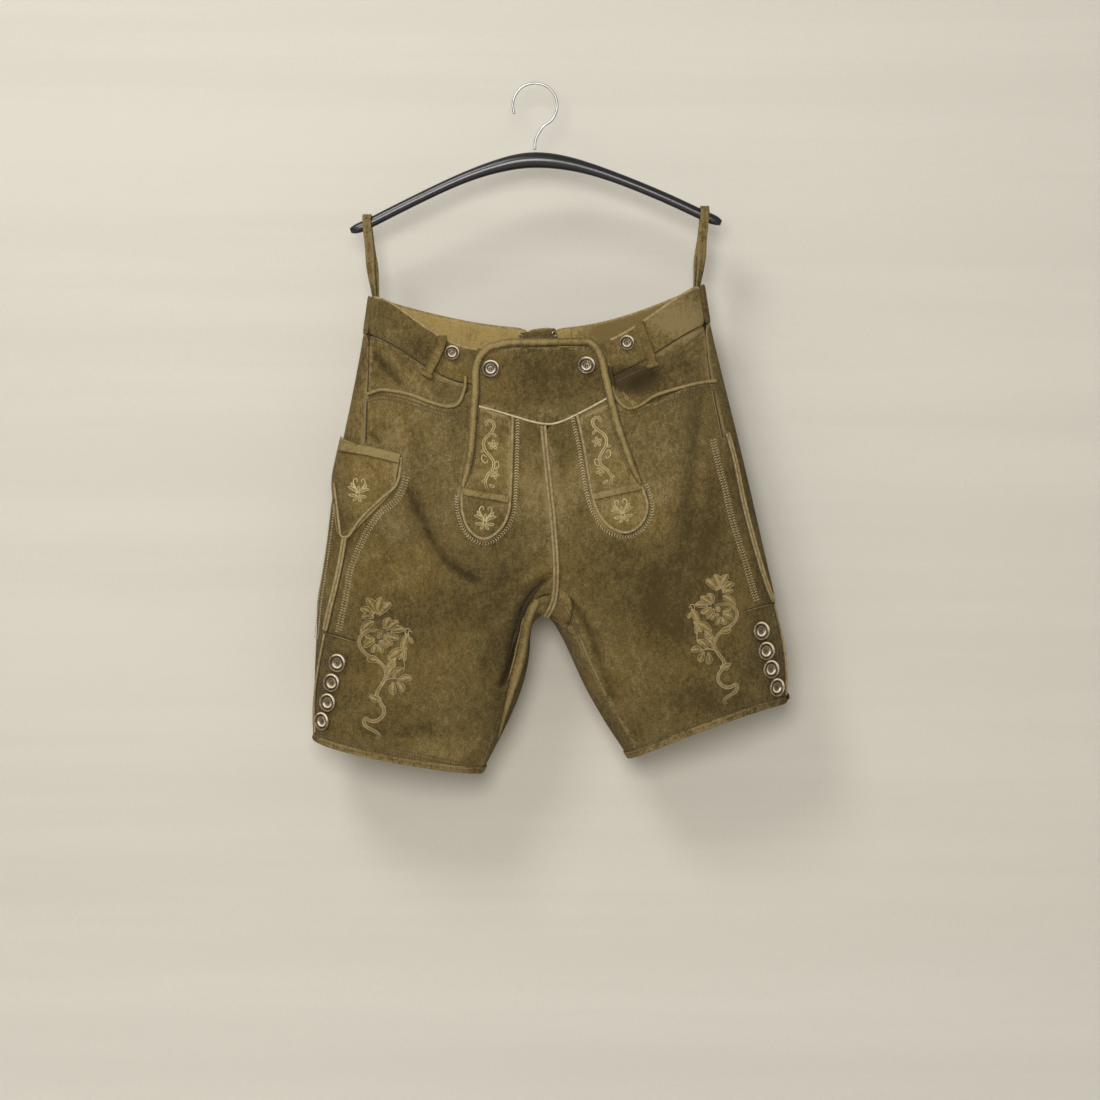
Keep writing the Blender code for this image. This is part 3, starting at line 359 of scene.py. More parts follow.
def foldField(folds, x, z):
    total = np.zeros(len(x))
    sharp = np.zeros(len(x))
    for width, height, line in folds:
        points = np.array(line, float) * mm
        width, height = width * mm, height * mm
        near = np.full(len(x), noneAbove)
        along = np.zeros(len(x))
        length = 0.0
        for start, end in zip(points, points[1:]):
            span = end - start
            size = float(np.hypot(*span))
            share = np.clip(((x - start[0]) * span[0] + (z - start[1]) * span[1]) / size**2, 0, 1)
            distance = np.hypot(x - start[0] - span[0] * share, z - start[1] - span[1] * share)
            closer = distance < near
            near[closer], along[closer] = distance[closer], length + share[closer] * size
            length += size
        fade = np.clip(np.minimum(along, length - along) / (3.0 * width) + 0.15, 0, 1)
        shape = np.exp(-((near / width) ** 2)) * fade * fade * (3 - 2 * fade)
        total += height * shape
        # The painted shade in a crease and the painted light on a ridge, as steep as the fold.
        sharp += np.sign(height) * min(abs(height) / width, 1.2) * shape
    return total, sharp


# The soft unevenness of leather that has been worn and hung up.
def swellField(x, z, side):
    total = np.zeros(len(x))
    for turn, (scale, height) in enumerate(swell.values()):
        for i in range(len(x)):
            total[i] += height * mm * noise.noise(Vector((x[i] * scale, z[i] * scale * 0.7, 7.3 * turn + side)))
    return total


# The patches' painted light and shade, mixed with the nap's own tone, at each place.
def napLightAndShadeField(x, z):
    total = np.zeros(len(x))
    for middleX, middleZ, wide, high, amount in napLightAndShadePatches:
        total += amount * np.exp(-((((x / mm - middleX) / wide) ** 2 + ((z / mm - middleZ) / high) ** 2) ** 1.2))
    return total


def meshArray(mesh, kind="vertices", what="co"):
    values = np.empty(len(getattr(mesh, kind)) * 3, np.float32)
    getattr(mesh, kind).foreach_get(what, values)
    return values.reshape(-1, 3).astype(float)


def setAttribute(mesh, name, values):
    layer = mesh.attributes.get(name) or mesh.attributes.new(name, "FLOAT", "POINT")
    layer.data.foreach_set("value", np.asarray(values, np.float32))


# A piece hangs in folds where it faces forward or back by more than a first share, fully so over the next.
drapeFacing = {"none": 0.12, "range": 0.5}


def drape(piece):
    mesh = piece.data
    at = meshArray(mesh)
    normals = meshArray(mesh, "vertex_normals", "vector")
    facing = np.clip((np.abs(normals[:, 1]) - drapeFacing["none"]) / drapeFacing["range"], 0, 1)
    front = at[:, 1] < 0
    fold, nap = np.zeros(len(at)), np.zeros(len(at))
    nap[front] = napLightAndShadeField(at[front, 0], at[front, 2])
    for side, folds, outward in ((front, frontFolds, -1), (~front, backFolds, 1)):
        moved, sharp = foldField(folds, at[side, 0], at[side, 2])
        moved += swellField(at[side, 0], at[side, 2], outward)
        at[side, 1] += outward * moved * facing[side]
        # The fold attribute paints shade into the creases and light onto the ridges.
        fold[side] = sharp * facing[side]
    mesh.vertices.foreach_set("co", at.astype(np.float32).ravel())
    mesh.update()
    setAttribute(mesh, "fold", fold)
    setAttribute(mesh, "nap", nap)


def pointTree(places):
    tree = KDTree(len(places))
    for i, place in enumerate(places):
        tree.insert(place, i)
    tree.balance()
    return tree


def meshTree(mesh):
    corners = [vertex.co for vertex in mesh.vertices]
    return BVHTree.FromPolygons(corners, [tuple(face.vertices) for face in mesh.polygons])


# Nearness to a piece's cut edges, found before it is rounded off.
def markEdges(piece, edgePlaces, reach):
    tree = pointTree(edgePlaces)
    values = [math.exp(-((tree.find(vertex.co)[2] / reach) ** 2)) for vertex in piece.data.vertices]
    setAttribute(piece.data, "edge", values)


# How a piece is softened and marked: the widest cut edge, how far sewn edges press together, the spacing of the
# places marked along an edge, and how far the evening out and the wear reach from it.
leather = {"cut": 0.0040, "press": 0.0008, "spacing": 0.002, "evenReach": 0.009, "wearReach": 0.0035, "sharp": 50}
# The body's girth, for telling outward from inward: its half width, its half depth and where its middle lies.
girth = {"wide": 0.045, "deep": 0.006, "middle": 0.005}
# Painted shade on the flesh side, growing from the middle of the body towards its left, where the front shades the
# inside of the waistband.
fleshShade = {"nap": -1.9, "start": 0.035, "range": 0.05}


def dress(nodeName, paint, levels=2, even=0, hangs=True):
    source = nodes[nodeName]
    piece = source.copy()
    piece.data = source.data.copy()
    piece.parent = None
    piece.matrix_world = Matrix()
    piece.name = "dressed_" + nodeName
    piece.data.name = piece.name
    link(piece)
    pick(piece)
    bpy.ops.object.mode_set(mode="EDIT")
    bpy.ops.mesh.select_all(action="SELECT")
    bpy.ops.mesh.remove_doubles(threshold=1e-6)
    bpy.ops.mesh.tris_convert_to_quads(face_threshold=math.radians(45), shape_threshold=math.radians(75))
    bpy.ops.object.mode_set(mode="OBJECT")
    # A cut edge is sharp, and borders a face that is only as wide as the leather is thick.
    work = bmesh.new()
    work.from_mesh(piece.data)
    crease = work.edges.layers.float.get("crease_edge") or work.edges.layers.float.new("crease_edge")
    edges, pushes = [], {}
    for edge in work.edges:
        if len(edge.link_faces) == 2 and edge.calc_face_angle(0) > math.radians(leather["sharp"]):
            wall = min(edge.link_faces, key=lambda face: face.calc_area())
            if 2 * wall.calc_area() < leather["cut"] * edge.calc_length():
                edge[crease] = 1.0
                edges.append((edge.verts[0].index, edge.verts[1].index))
                for corner in edge.verts:
                    pushes.setdefault(corner, Vector())
                    pushes[corner] += wall.normal
    # Sewn pieces press against each other along their cut edges.
    for corner, push in pushes.items():
        if hangs and push.length > 0.1:
            corner.co += push.normalized() * leather["press"]
    work.to_mesh(piece.data)
    work.free()
    corners = [v.co.copy() for v in piece.data.vertices]
    rim = []
    for a, b in edges:
        steps = max(1, int((corners[a] - corners[b]).length / leather["spacing"]))
        rim += [corners[a].lerp(corners[b], i / steps) for i in range(steps + 1)]
    subdivide(piece, levels)
    if even:
        markEdges(piece, rim, leather["evenReach"])
        group = piece.vertex_groups.new(name="inner")
        for vertex, value in zip(piece.data.vertices, piece.data.attributes["edge"].data):
            group.add([vertex.index], 1 - value.value, "REPLACE")
        applyModifier(piece, "SMOOTH", factor=0.6, iterations=even, vertex_group="inner")
        piece.vertex_groups.clear()
    if hangs:
        drape(piece)
    if rim:
        markEdges(piece, rim, leather["wearReach"])
    if paint == "flesh side":
        normals = meshArray(piece.data, "vertex_normals", "vector")
        places = meshArray(piece.data)
        outward = np.column_stack((places[:, 0] / girth["wide"], (places[:, 1] - girth["middle"]) / girth["deep"]))
        outward /= np.linalg.norm(outward, axis=1)[:, None]
        inward = np.clip(0.3 - 2.0 * (normals[:, :2] * outward).sum(axis=1), 0, 1)
        leftward = np.clip((places[:, 0] - fleshShade["start"]) / fleshShade["range"], 0, 1)
        setAttribute(piece.data, "flesh", inward)
        # Painted shade on the flesh side towards the body's left.
        setAttribute(piece.data, "nap", fleshShade["nap"] * inward * leftward)
    piece.data.materials.clear()
    piece.data.materials.append(paints[paint])
    piece.data.shade_smooth()
    piece.data.set_sharp_from_angle(angle=math.radians(leather["sharp"]))
    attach(piece, "root")
    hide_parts(nodeName)
    return piece


dressed = {}
panels = {
    "front": ("suede", 3, 36), "back": ("suede", 3, 36), "waistband_front": ("suede", 2, 0),
    "waistband_back": ("flesh side", 2, 0), "pocket_facing": ("suede", 2, 0), "flap_strip": ("pale suede", 2, 0),
}
for side in bothSides:
    for nodeName, (paint, levels, even) in panels.items():
        dressed[f"{nodeName}_{side}"] = dress(f"{nodeName}_{side}", paint, levels, even)
dressed["flap_yoke"] = dress("flap_yoke", "suede")
dressed["knife_sheath"] = dress("knife_sheath", "pale suede")
for side in bothSides:
    dressed[f"hem_binding_{side}"] = dress(f"hem_binding_{side}", "suede")
    dressed[f"hanging_loop_{side}"] = dress(f"hanging_loop_{side}", "suede", hangs=False)
    dressed[f"belt_loop_back_{side}"] = dress(f"belt_loop_back_{side}", "lit and rubbed suede edge")
dressed["back_gusset"] = dress("back_gusset", "suede")
dress("hanger_body", "plastic", hangs=False)
dress("hanger_hook", "steel", hangs=False)
print("leather panels ready")


# The sewn surface, for laying trims, threads and buttons on it.

class Surface:
    patch = 0.0015

    def __init__(self, *names):
        self.trees = [meshTree(dressed[name].data) for name in names]

    def hit(self, x, z, toward):
        start = Vector((x, -0.4 * toward, z))
        found = [tree.ray_cast(start, Vector((0, toward, 0))) for tree in self.trees]
        found = [one for one in found if one[0] is not None]
        return min(found, key=lambda one: toward * one[0].y) if found else None

    # The place and outward normal at (x, z). The normal is taken over a small patch, so that a trim rides smoothly.
    def at(self, x, z, toward=1):
        here = self.hit(x, z, toward)
        around = [(self.patch, 0), (-self.patch, 0), (0, self.patch), (0, -self.patch)]
        hits = [one for one in (self.hit(x + dx, z + dz, toward) for dx, dz in around) if one]
        if here is None:
            if not hits:
                return None
            here = min(hits, key=lambda one: toward * one[0].y)
        normal = here[1] + sum((one[1] for one in hits), Vector())
        return Vector((x, here[0].y, z)), normal.normalized()


bodyNames = [f"{part}_{side}" for part in ("front", "back", "waistband_front", "pocket_facing") for side in bothSides]
bodyFront = Surface(*bodyNames)
sewnNames = [
    *bodyNames, "flap_yoke", "flap_strip_right", "flap_strip_left", "knife_sheath", "hem_binding_right",
    "hem_binding_left",
]
allFront = Surface(*sewnNames)
backNames = [f"{part}_{side}" for part in ("back", "waistband_back") for side in bothSides]
behind = Surface(*backNames, "back_gusset")


# Points every step along a smooth curve through the given ones, in metres.
def smoothLine(points, step=0.002, rounds=True):
    points = [Vector(point) for point in points]
    if rounds and len(points) > 2:
        ends = [2 * points[0] - points[1], *points, 2 * points[-1] - points[-2]]
        fine = []
        for a, b, c, d in zip(ends, ends[1:], ends[2:], ends[3:]):
            for i in range(12):
                t = i / 12
                curve = 2 * b + (c - a) * t + (2 * a - 5 * b + 4 * c - d) * t * t + (3 * b - a - 3 * c + d) * t**3
                fine.append(0.5 * curve)
        points = [*fine, points[-1]]
    line = [points[0]]
    left = step
    for start, end in zip(points, points[1:]):
        span, gone = (end - start).length, 0.0
        while span - gone >= left:
            gone += left
            line.append(start.lerp(end, gone / span))
            left = step
        left -= span - gone
    if (line[-1] - points[-1]).length > 0.3 * step:
        line.append(points[-1])
    return line


def flatLine(points, step=0.002, rounds=True):
    return smoothLine(scaled(points), step, rounds)


# The way a line goes at its point i.
def heading(line, i):
    return line[min(i + 1, len(line) - 1)] - line[max(i - 1, 0)]


# The mean of the points from reach before i to reach after it.
def meanAround(line, i, reach):
    near = line[max(0, i - reach) : i + reach + 1]
    return sum(near, Vector()) / len(near)


# A place raised by the lift, the way across the line there, and the way out from the surface.
def frameOf(at, ahead, normal, lift):
    across = ahead.cross(normal).normalized()
    out = across.cross(ahead).normalized()
    return at + out * lift, across, out


# A line of (x, z) moved sideways: + is to the left of its direction as seen from the front.
def offsetLine(line, distance):
    moved = []
    for i, point in enumerate(line):
        ahead = heading(line, i)
        moved.append(point + Vector((-ahead.y, ahead.x)).normalized() * distance)
    return moved


def newPiece(name, points, faces, paint, slot, smoothAngle=50, uv=None):
    mesh = bpy.data.meshes.new(name)
    mesh.from_pydata([tuple(point) for point in points], [], faces)
    if uv is not None:
        layer = mesh.uv_layers.new(name="along")
        for loop in mesh.loops:
            layer.data[loop.index].uv = uv[loop.vertex_index]
    mesh.materials.append(paints[paint])
    work = bmesh.new()
    work.from_mesh(mesh)
    bmesh.ops.recalc_face_normals(work, faces=work.faces)
    work.to_mesh(mesh)
    work.free()
    mesh.shade_smooth()
    mesh.set_sharp_from_angle(angle=math.radians(smoothAngle))
    return addPiece(name, mesh, slot)


# Frames (place, across, out) along a line of (x, z) that lies on a surface. With a bridge it rests on whatever
# stands highest within that distance to either side, and its depth is evened out over the smoothing length.
def lay(line, surface, lift=0.0, bridge=0.0, smoothing=0.0, below=False):
    found, kept = [], []
    for i, point in enumerate(line):
        ahead = heading(line, i)
        sideways = Vector((-ahead.y, ahead.x)).normalized() if bridge else Vector((0, 0))
        hits = []
        for share in (0, -1, -0.5, 0.5, 1) if bridge else (0,):
            place = Vector(point) + sideways * bridge * share
            one = surface.at(place.x, place.y)
            if one:
                hits.append(one)
        if not hits:
            continue
        top = min(at.y for at, _ in hits)
        if below:
            top = max(at.y for at, _ in hits if at.y < top + 0.005)
        normal = sum((normal for at, normal in hits if at.y < top + 0.006), Vector()).normalized()
        found.append([Vector((point.x, top, point.y)), normal])
        kept.append(point)
    if smoothing and len(found) > 2:
        span = max(1, int(smoothing / max((kept[1] - kept[0]).length, 1e-6)))
        depths = [at.y for at, _ in found]
        raised = [(max if below else min)(depths[max(0, i - span) : i + span + 1]) for i in range(len(depths))]
        for i, one in enumerate(found):
            near = raised[max(0, i - span) : i + span + 1]
            one[0].y = sum(near) / len(near)
        normals = [normal for _, normal in found]
        for i, one in enumerate(found):
            one[1] = sum(normals[max(0, i - span) : i + span + 1], Vector()).normalized()
    places = [at for at, _ in found]
    return [frameOf(at, heading(places, i), normal, lift) for i, (at, normal) in enumerate(found)]


# Collects many small strips or beads into one mesh.
class Builder:
    def __init__(self):
        self.points, self.faces, self.uv, self.sides = [], [], [], []

    def sweep(self, frames, profile, widths=None, heights=None, closed=True):
        start, n, gone = len(self.points), len(profile), 0.0
        for i, (at, across, out) in enumerate(frames):
            wide = widths[i] if widths else 1.0
            high = heights[i] if heights else 1.0
            gone += (at - frames[i - 1][0]).length if i else 0.0
            for k, (a, o) in enumerate(profile):
                self.points.append(at + across * a * wide + out * o * high)
                self.uv.append((gone, k / (n - 1)))
                self.sides.append(abs(2 * k / (n - 1) - 1))
        for i in range(len(frames) - 1):
            for k in range(n if closed else n - 1):
                a, b = start + i * n + k, start + i * n + (k + 1) % n
                self.faces.append((a, b, b + n, a + n))
        if closed:
            self.faces.append(tuple(range(start, start + n)))
            self.faces.append(tuple(range(len(self.points) - n, len(self.points))))

    def bead(self, at, along, out, shape):
        across = along.cross(out)
        start = len(self.points)
        for point in shape[0]:
            self.points.append(at + along * point[0] + across * point[1] + out * point[2])
            self.uv.append((0.0, 0.0))
            self.sides.append(0.0)
        self.faces += [tuple(start + i for i in face) for face in shape[1]]

    # A rounded piece gets painted light along its middle and painted shade down its sides, and with a groove, painted
    # shade down that as well.
    def done(self, name, paint, slot="leather", rounded=0.0, groove=0.0):
        piece = newPiece(name, self.points, self.faces, paint, slot, 60, self.uv)
        if rounded:
            sides = np.array(self.sides)
            dark = rounded * np.clip((sides - 0.52) / 0.30, 0, 1) ** 1.3
            setAttribute(piece.data, "fold", -dark - groove * (sides < 0.13))
            setAttribute(piece.data, "nap", rounded * np.clip(1 - sides / 0.5, 0, 1))
        return piece


# A profile or a route given in millimetres, in metres and stretched.
def scaled(points, wide=1.0, high=1.0):
    return [(x * wide * mm, z * high * mm) for x, z in points]


def dome(width, height, steps=6):
    half = width / 2
    turns = [math.pi * i / steps for i in range(steps + 1)]
    return [(-half * math.cos(turn), height * math.sin(turn)) for turn in turns]


# One stitch, modelled once: a bead with pointed ends, half sunk in the leather.
def modelStitch(length, width, height):
    deselectAll()
    bpy.ops.mesh.primitive_uv_sphere_add(segments=6, ring_count=4, radius=0.5)
    bead = bpy.context.object
    bpy.ops.object.mode_set(mode="EDIT")
    bpy.ops.mesh.select_all(action="SELECT")
    bpy.ops.transform.rotate(value=math.radians(90), orient_axis="Y", center_override=(0, 0, 0))
    bpy.ops.transform.resize(value=(length, width, 2 * height), center_override=(0, 0, 0))
    bpy.ops.mesh.bisect(plane_co=(0, 0, -0.3 * height), plane_no=(0, 0, 1), clear_inner=True, use_fill=True)
    bpy.ops.object.mode_set(mode="OBJECT")
    shape = [vertex.co.copy() for vertex in bead.data.vertices], [tuple(face.vertices) for face in bead.data.polygons]
    bpy.data.objects.remove(bead, do_unlink=True)
    return shape


threadSizes = {"top": (2.6, 0.85, 0.45), "zigzag": (4.0, 1.10, 0.75)}
stitches = {key: modelStitch(*(size * mm for size in sizes)) for key, sizes in threadSizes.items()}


# Top stitches share one mesh, and so do the channels they lie in, painted dark as the shade of their grooves. Sizes
# are in metres.
channel, topThread, bright, seamThread = Builder(), Builder(), Builder(), Builder()
stitchLook = {"pitch": 3.4 * mm, "lift": 0.00012, "channel": [(-0.00055, 0.0), (0.0, 0.00005), (0.00055, 0.0)]}
zigzagLook = {"pitch": 3.3 * mm, "lift": 0.0002, "lean": 0.75}


# A stitched seam line: a narrow channel painted dark as the shade in its groove, with a row of stitches in it.
def topStitch(line, lift=0.0):
    frames = lay(line, allFront, lift + stitchLook["lift"])
    channel.sweep(frames, stitchLook["channel"], closed=False)
    places = smoothLine([at for at, _, _ in frames], stitchLook["pitch"], False)
    at = 0
    for start, end in zip(places, places[1:]):
        middle = start.lerp(end, 0.5)
        while at < len(frames) - 1 and (frames[at + 1][0] - middle).length < (frames[at][0] - middle).length:
            at += 1
        topThread.bead(middle, (end - start).normalized(), frames[at][2], stitches["top"])


# Two rows of slanted stitches that meet in a chevron.
def zigzag(thread, line, wide):
    frames = lay(smoothLine(line, zigzagLook["pitch"], False), allFront, zigzagLook["lift"])
    for i, (at, across, out) in enumerate(frames[:-1]):
        along = (frames[i + 1][0] - at).normalized()
        for side in (-1, 1):
            slant = (across * side + along * zigzagLook["lean"]).normalized()
            thread.bead(at + across * side * wide * mm / 4, slant, out, stitches["zigzag"])


# The value at step i of count, read along a short list of values spread evenly from the first step to the last.
def readAlong(values, i, count):
    place = i / (count - 1) * (len(values) - 1)
    low = min(int(place), len(values) - 2)
    return values[low] + (values[low + 1] - values[low]) * (place - low)


# Trims: rolled edges, pipings and bands. Lines are (x, z) in millimetres, on the front, and so are the step along
# them, the reach of the taper at each end and the length over which their depth is evened out.
def trim(
    name, points, surface, profile, paint, replaced=(), lift=0.0, taper=(1.0, 1.0), reach=8, rounds=True,
    slot="leather", smoothing=4, widths=None, below=False, groove=0.0, step=1.6,
):
    line = flatLine(points, step * mm, rounds)
    half = max(abs(across) for across, _ in profile) * (max(widths) if widths else 1)
    frames = lay(line, surface, lift, bridge=half * 0.9, smoothing=smoothing * mm, below=below)
    builder = Builder()
    count = len(frames)
    ends = max(2, int(reach / step))
    sizes = []
    for i in range(count):
        start = min(i / ends, 1.0)
        end = min((count - 1 - i) / ends, 1.0)
        size = (taper[0] + (1 - taper[0]) * start) * (taper[1] + (1 - taper[1]) * end)
        if widths:
            size *= readAlong(widths, i, count)
        sizes.append(size)
    builder.sweep(frames, profile, sizes, sizes)
    # Every trim gets painted light along its middle and painted shade down its sides.
    piece = builder.done(name, paint, slot, rounded=1.2, groove=groove)
    if replaced:
        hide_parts(*replaced)
    return piece


def under(profile, depth):
    return [(profile[0][0] * 0.98, -depth), *profile, (profile[-1][0] * 0.98, -depth)]


pipingTop = [
    (-3.9, 0.0), (-3.7, 1.3), (-2.6, 2.1), (-1.2, 1.7), (-0.3, 0.5), (0.5, 0.5), (1.2, 1.7), (2.6, 2.1), (3.7, 1.3),
    (3.9, 0.0),
]
bandTop = [(-3.0, 0.0), (-2.9, 1.2), (-2.4, 1.6), (2.4, 1.6), (2.9, 1.2), (3.0, 0.0)]
roll = {
    "flap": under(dome(0.0094, 0.0040, 8), 0.003),
    "mouth": under(dome(0.0050, 0.0026, 6), 0.0025),
    "binding": under(dome(0.0034, 0.0015, 6), 0.0015),
    "thin": under(dome(0.0026, 0.0016, 6), 0.0015),
    "soft": under(dome(0.0130, 0.0026, 8), 0.004),
    "waist": under(dome(0.0034, 0.0015, 6), 0.0012),
    "tab": under(dome(0.0062, 0.0026, 6), 0.002),
    "piping": under(scaled(pipingTop), 0.0018),
    "strip band": under(scaled(bandTop, 1.35, 1.2), 0.0015),
    "wide band": under(scaled(bandTop, 1.9, 1.25), 0.0015),
    "allowance": scaled(((-3, 0), (3, 0), (3, -0.7), (-3, -0.7))),
    "upright allowance": scaled(((-3.5, 0.3), (3.5, 0.3), (3.5, -0.3), (-3.5, -0.3))),
    "closed seam": scaled(((-1.0, -0.3), (-0.5, 0.35), (0.5, 0.35), (1.0, -0.3))),
    "crease": scaled(((-1, -0.3), (-0.6, 0.3), (0.6, 0.3), (1, -0.3)), 0.6),
    "deep crease": scaled(((-1, -0.3), (-0.6, 0.3), (0.6, 0.3), (1, -0.3)), 1.9),
}

# The flap.
stripEdges = {
    "right": (
        (-26, -399), (-26.5, -426), (-27.5, -461), (-29, -493), (-31.5, -513), (-41, -531), (-58.5, -542),
        (-76, -533), (-85, -511), (-86, -490),
    ),
    "left": (
        (50, -396), (58, -432), (67.5, -488), (77, -514), (91, -529.5), (110, -534.5), (127, -523), (133, -505),
        (130, -491), (126, -480),
    ),
}
stripBands = {"right": ((-83, -487), (-31, -496)), "left": ((69.5, -492.5), (125.5, -480.5))}
flapBorder = (
    (-85, -481), (-76, -443), (-73, -407), (-70.5, -371), (-69.5, -340), (-61, -322), (-43, -313), (5, -307),
    (53, -306.5), (69, -313), (78, -327), (83, -347), (87.5, -368), (95, -399), (106, -432), (117, -461), (125, -477),
)
yokeSeam = (
    (-66, -386), (-41, -393), (-24, -398), (-7, -403), (6, -406), (18, -407), (30, -404.5), (43, -399), (64, -388.5),
    (85, -377),
)
centreSeam = (
    (10, -409), (12, -431), (16.5, -473), (21.5, -520), (25, -567), (25.3, -590), (24.8, -604), (23.2, -616),
    (19.4, -627), (14, -637),
)

# A piece cut to an outline and laid over what is under it: rings from the outline in to its middle, on a smooth
# curved face fitted to the body, with its edge turned down. With a bulge it is flat but for that curvature.
patchLook = {"rings": 9, "rounded": (1.0, 0.985, 0.95), "rim": 0.995, "inner": 0.98, "deepest": 0.02}


def patchPiece(name, outline, surface, lift, thick, paint, bulge=None):
    line = flatLine(outline + (outline[0],), 0.003)[:-1]
    middle = sum(line, Vector((0, 0))) / len(line)
    samples = [middle.lerp(point, share) for point in line[::3] for share in (0.3, 0.6, 0.95)]
    rows, depths = [], []
    for place in samples:
        one = surface.hit(place.x, place.y, 1)
        if one:
            u, v = place - middle
            rows.append((1, u, v, u * u, u * v, v * v))
            depths.append(one[0].y)
    if bulge is None:
        fit = np.linalg.lstsq(np.array(rows), np.array(depths), rcond=None)[0]
    else:
        near = min(depths) + patchLook["deepest"]
        kept = [i for i, depth in enumerate(depths) if depth < near]
        slopes = np.linalg.lstsq(np.array(rows)[kept][:, :3], np.array(depths)[kept], rcond=None)[0]
        fit = np.array([*slopes, bulge, 0.0, bulge])

    def place(flat, down=0.0):
        u, v = flat - middle
        return Vector((flat.x, float(np.dot(fit, (1, u, v, u * u, u * v, v * v))) - (lift - down), flat.y))

    # The rim turns down in two rings, the next ones round it off, and the rest go in evenly.
    count, rings, rounded = len(line), patchLook["rings"], patchLook["rounded"]
    points = [place(point, thick) for point in line]
    points += [place(middle.lerp(point, patchLook["rim"]), thick * 0.3) for point in line]
    for ring in range(rings):
        beyond = ring - len(rounded) + 1
        share = rounded[ring] if beyond < 1 else rounded[-1] * (1 - beyond / (rings - len(rounded) + 1))
        down = thick * 0.08 if ring == 0 else 0
        points += [place(middle.lerp(point, share * patchLook["inner"]), down) for point in line]
    points.append(place(middle))
    levels = rings + 2
    faces = [
        (k * count + i, k * count + (i + 1) % count, (k + 1) * count + (i + 1) % count, (k + 1) * count + i)
        for k in range(levels - 1)
        for i in range(count)
    ]
    faces += [
        ((levels - 1) * count + i, (levels - 1) * count + (i + 1) % count, len(points) - 1)
        for i in range(count)
    ]
    piece = newPiece(name, points, faces, paint, "leather")
    edge = [math.exp(-((max(0, i // count - 1) / 1.5) ** 2)) for i in range(len(points))]
    setAttribute(piece.data, "edge", edge)
    # Painted shade on the turned-down rim.
    setAttribute(piece.data, "fold", [-1.1 if i // count < 2 else 0.0 for i in range(len(points))])
    setAttribute(piece.data, "nap", napLightAndShadeField(*(np.array([point[k] for point in points]) for k in (0, 2))))
    return piece


stripEnds = {
    "right": ((-84, -488), (-31, -497), (-31.5, -513), (-41, -531), (-58.5, -541.5), (-76, -532), (-84.5, -511)),
    "left": ((70, -493), (127, -480), (131, -491), (132.5, -505), (127, -522), (110, -534), (92, -529.5), (78, -514)),
}
for side in bothSides:
    dressed[f"strip_end_{side}"] = patchPiece(
        f"strip_end_{side}", stripEnds[side], bodyFront, lift=0.0072, thick=0.0035, paint="pale suede",
    )
    sewnNames.append(f"strip_end_{side}")
allFront = Surface(*sewnNames)

# The seam allowances, seen only as the dark bottom of a seam: strips of painted shade.
seams = {
    "centre": ((10, -405), (16.5, -473), (21.5, -520), (25, -567), (24, -606)),
    "side_right": ((-200.5, -300), (-200, -342), (-202, -402), (-209, -450)),
    "side_left": ((207, -290), (210, -330), (214, -357), (222, -395)),
}
for key, points in seams.items():
    trim(
        f"seam_allowance_{key}", points, bodyFront, roll["allowance"], "seam shade", lift=-0.0011, smoothing=5,
        below=True,
    )


# Between two cut edges an upright allowance lies in the middle of the leather's thickness. It runs along an axis
# from start to end in millimetres, as deep as the sink, where corners of both pieces lie within these distances.
seamReach = {"along": 0.0050, "across": 0.0045}


def closeSeam(name, first, second, axis, start, end, steps, sink):
    clouds = [[vertex.co.copy() for vertex in dressed[key].data.vertices] for key in (first, second)]
    trees = [pointTree(cloud) for cloud in clouds]
    found = []
    for i in range(steps):
        place = (start + (end - start) * i / (steps - 1)) * mm
        sides = []
        for cloud, other in zip(clouds, reversed(trees)):
            beside = [point for point in cloud if abs(point[axis] - place) < seamReach["along"]]
            near = [point for point in beside if other.find(point)[2] < seamReach["across"]]
            if near:
                sides.append(sum(near, Vector()) / len(near))
        if len(sides) == 2:
            found.append(((sides[0] + sides[1]) / 2, sides[1] - sides[0]))
    middles = [middle for middle, _ in found]
    frames = []
    for i in range(len(found)):
        at = meanAround(middles, i, 2)
        ahead = heading(middles, i).normalized()
        wide = sum((one[1] for one in found[max(0, i - 2) : i + 3]), Vector())
        wide = (wide - ahead * wide.dot(ahead)).normalized()
        outward = Vector((at.x / girth["wide"], (at.y - girth["middle"]) / girth["deep"], 0)).normalized()
        frames.append((at - outward * sink, wide, ahead.cross(wide)))
    builder = Builder()
    builder.sweep(frames, roll["upright allowance"])
    # The allowance is painted dark, as shade down in the seam.
    dressed[name] = builder.done(name, "seam shade")


# Each closed seam of the waistband: the pieces on its two sides, its axis, its steps, its sink and its two ranges.
waistSeams = {
    "waist": ("waistband_front", "pocket_facing", 0, 60, 0.0012, {"right": (-203, -74), "left": (90, 208)}),
    "back_waist": ("waistband_back", "back", 0, 80, 0.0003, {"right": (-202, -12), "left": (26, 208)}),
    "waist_side": ("waistband_front", "waistband_back", 2, 24, 0.0008, {"right": (-291, -238), "left": (-284, -228)}),
}
for side in bothSides:
    for key, (first, second, axis, steps, sink, ranges) in waistSeams.items():
        pieces = f"{first}_{side}", f"{second}_{side}"
        closeSeam(f"seam_allowance_{key}_{side}", *pieces, axis, *ranges[side], steps, sink)

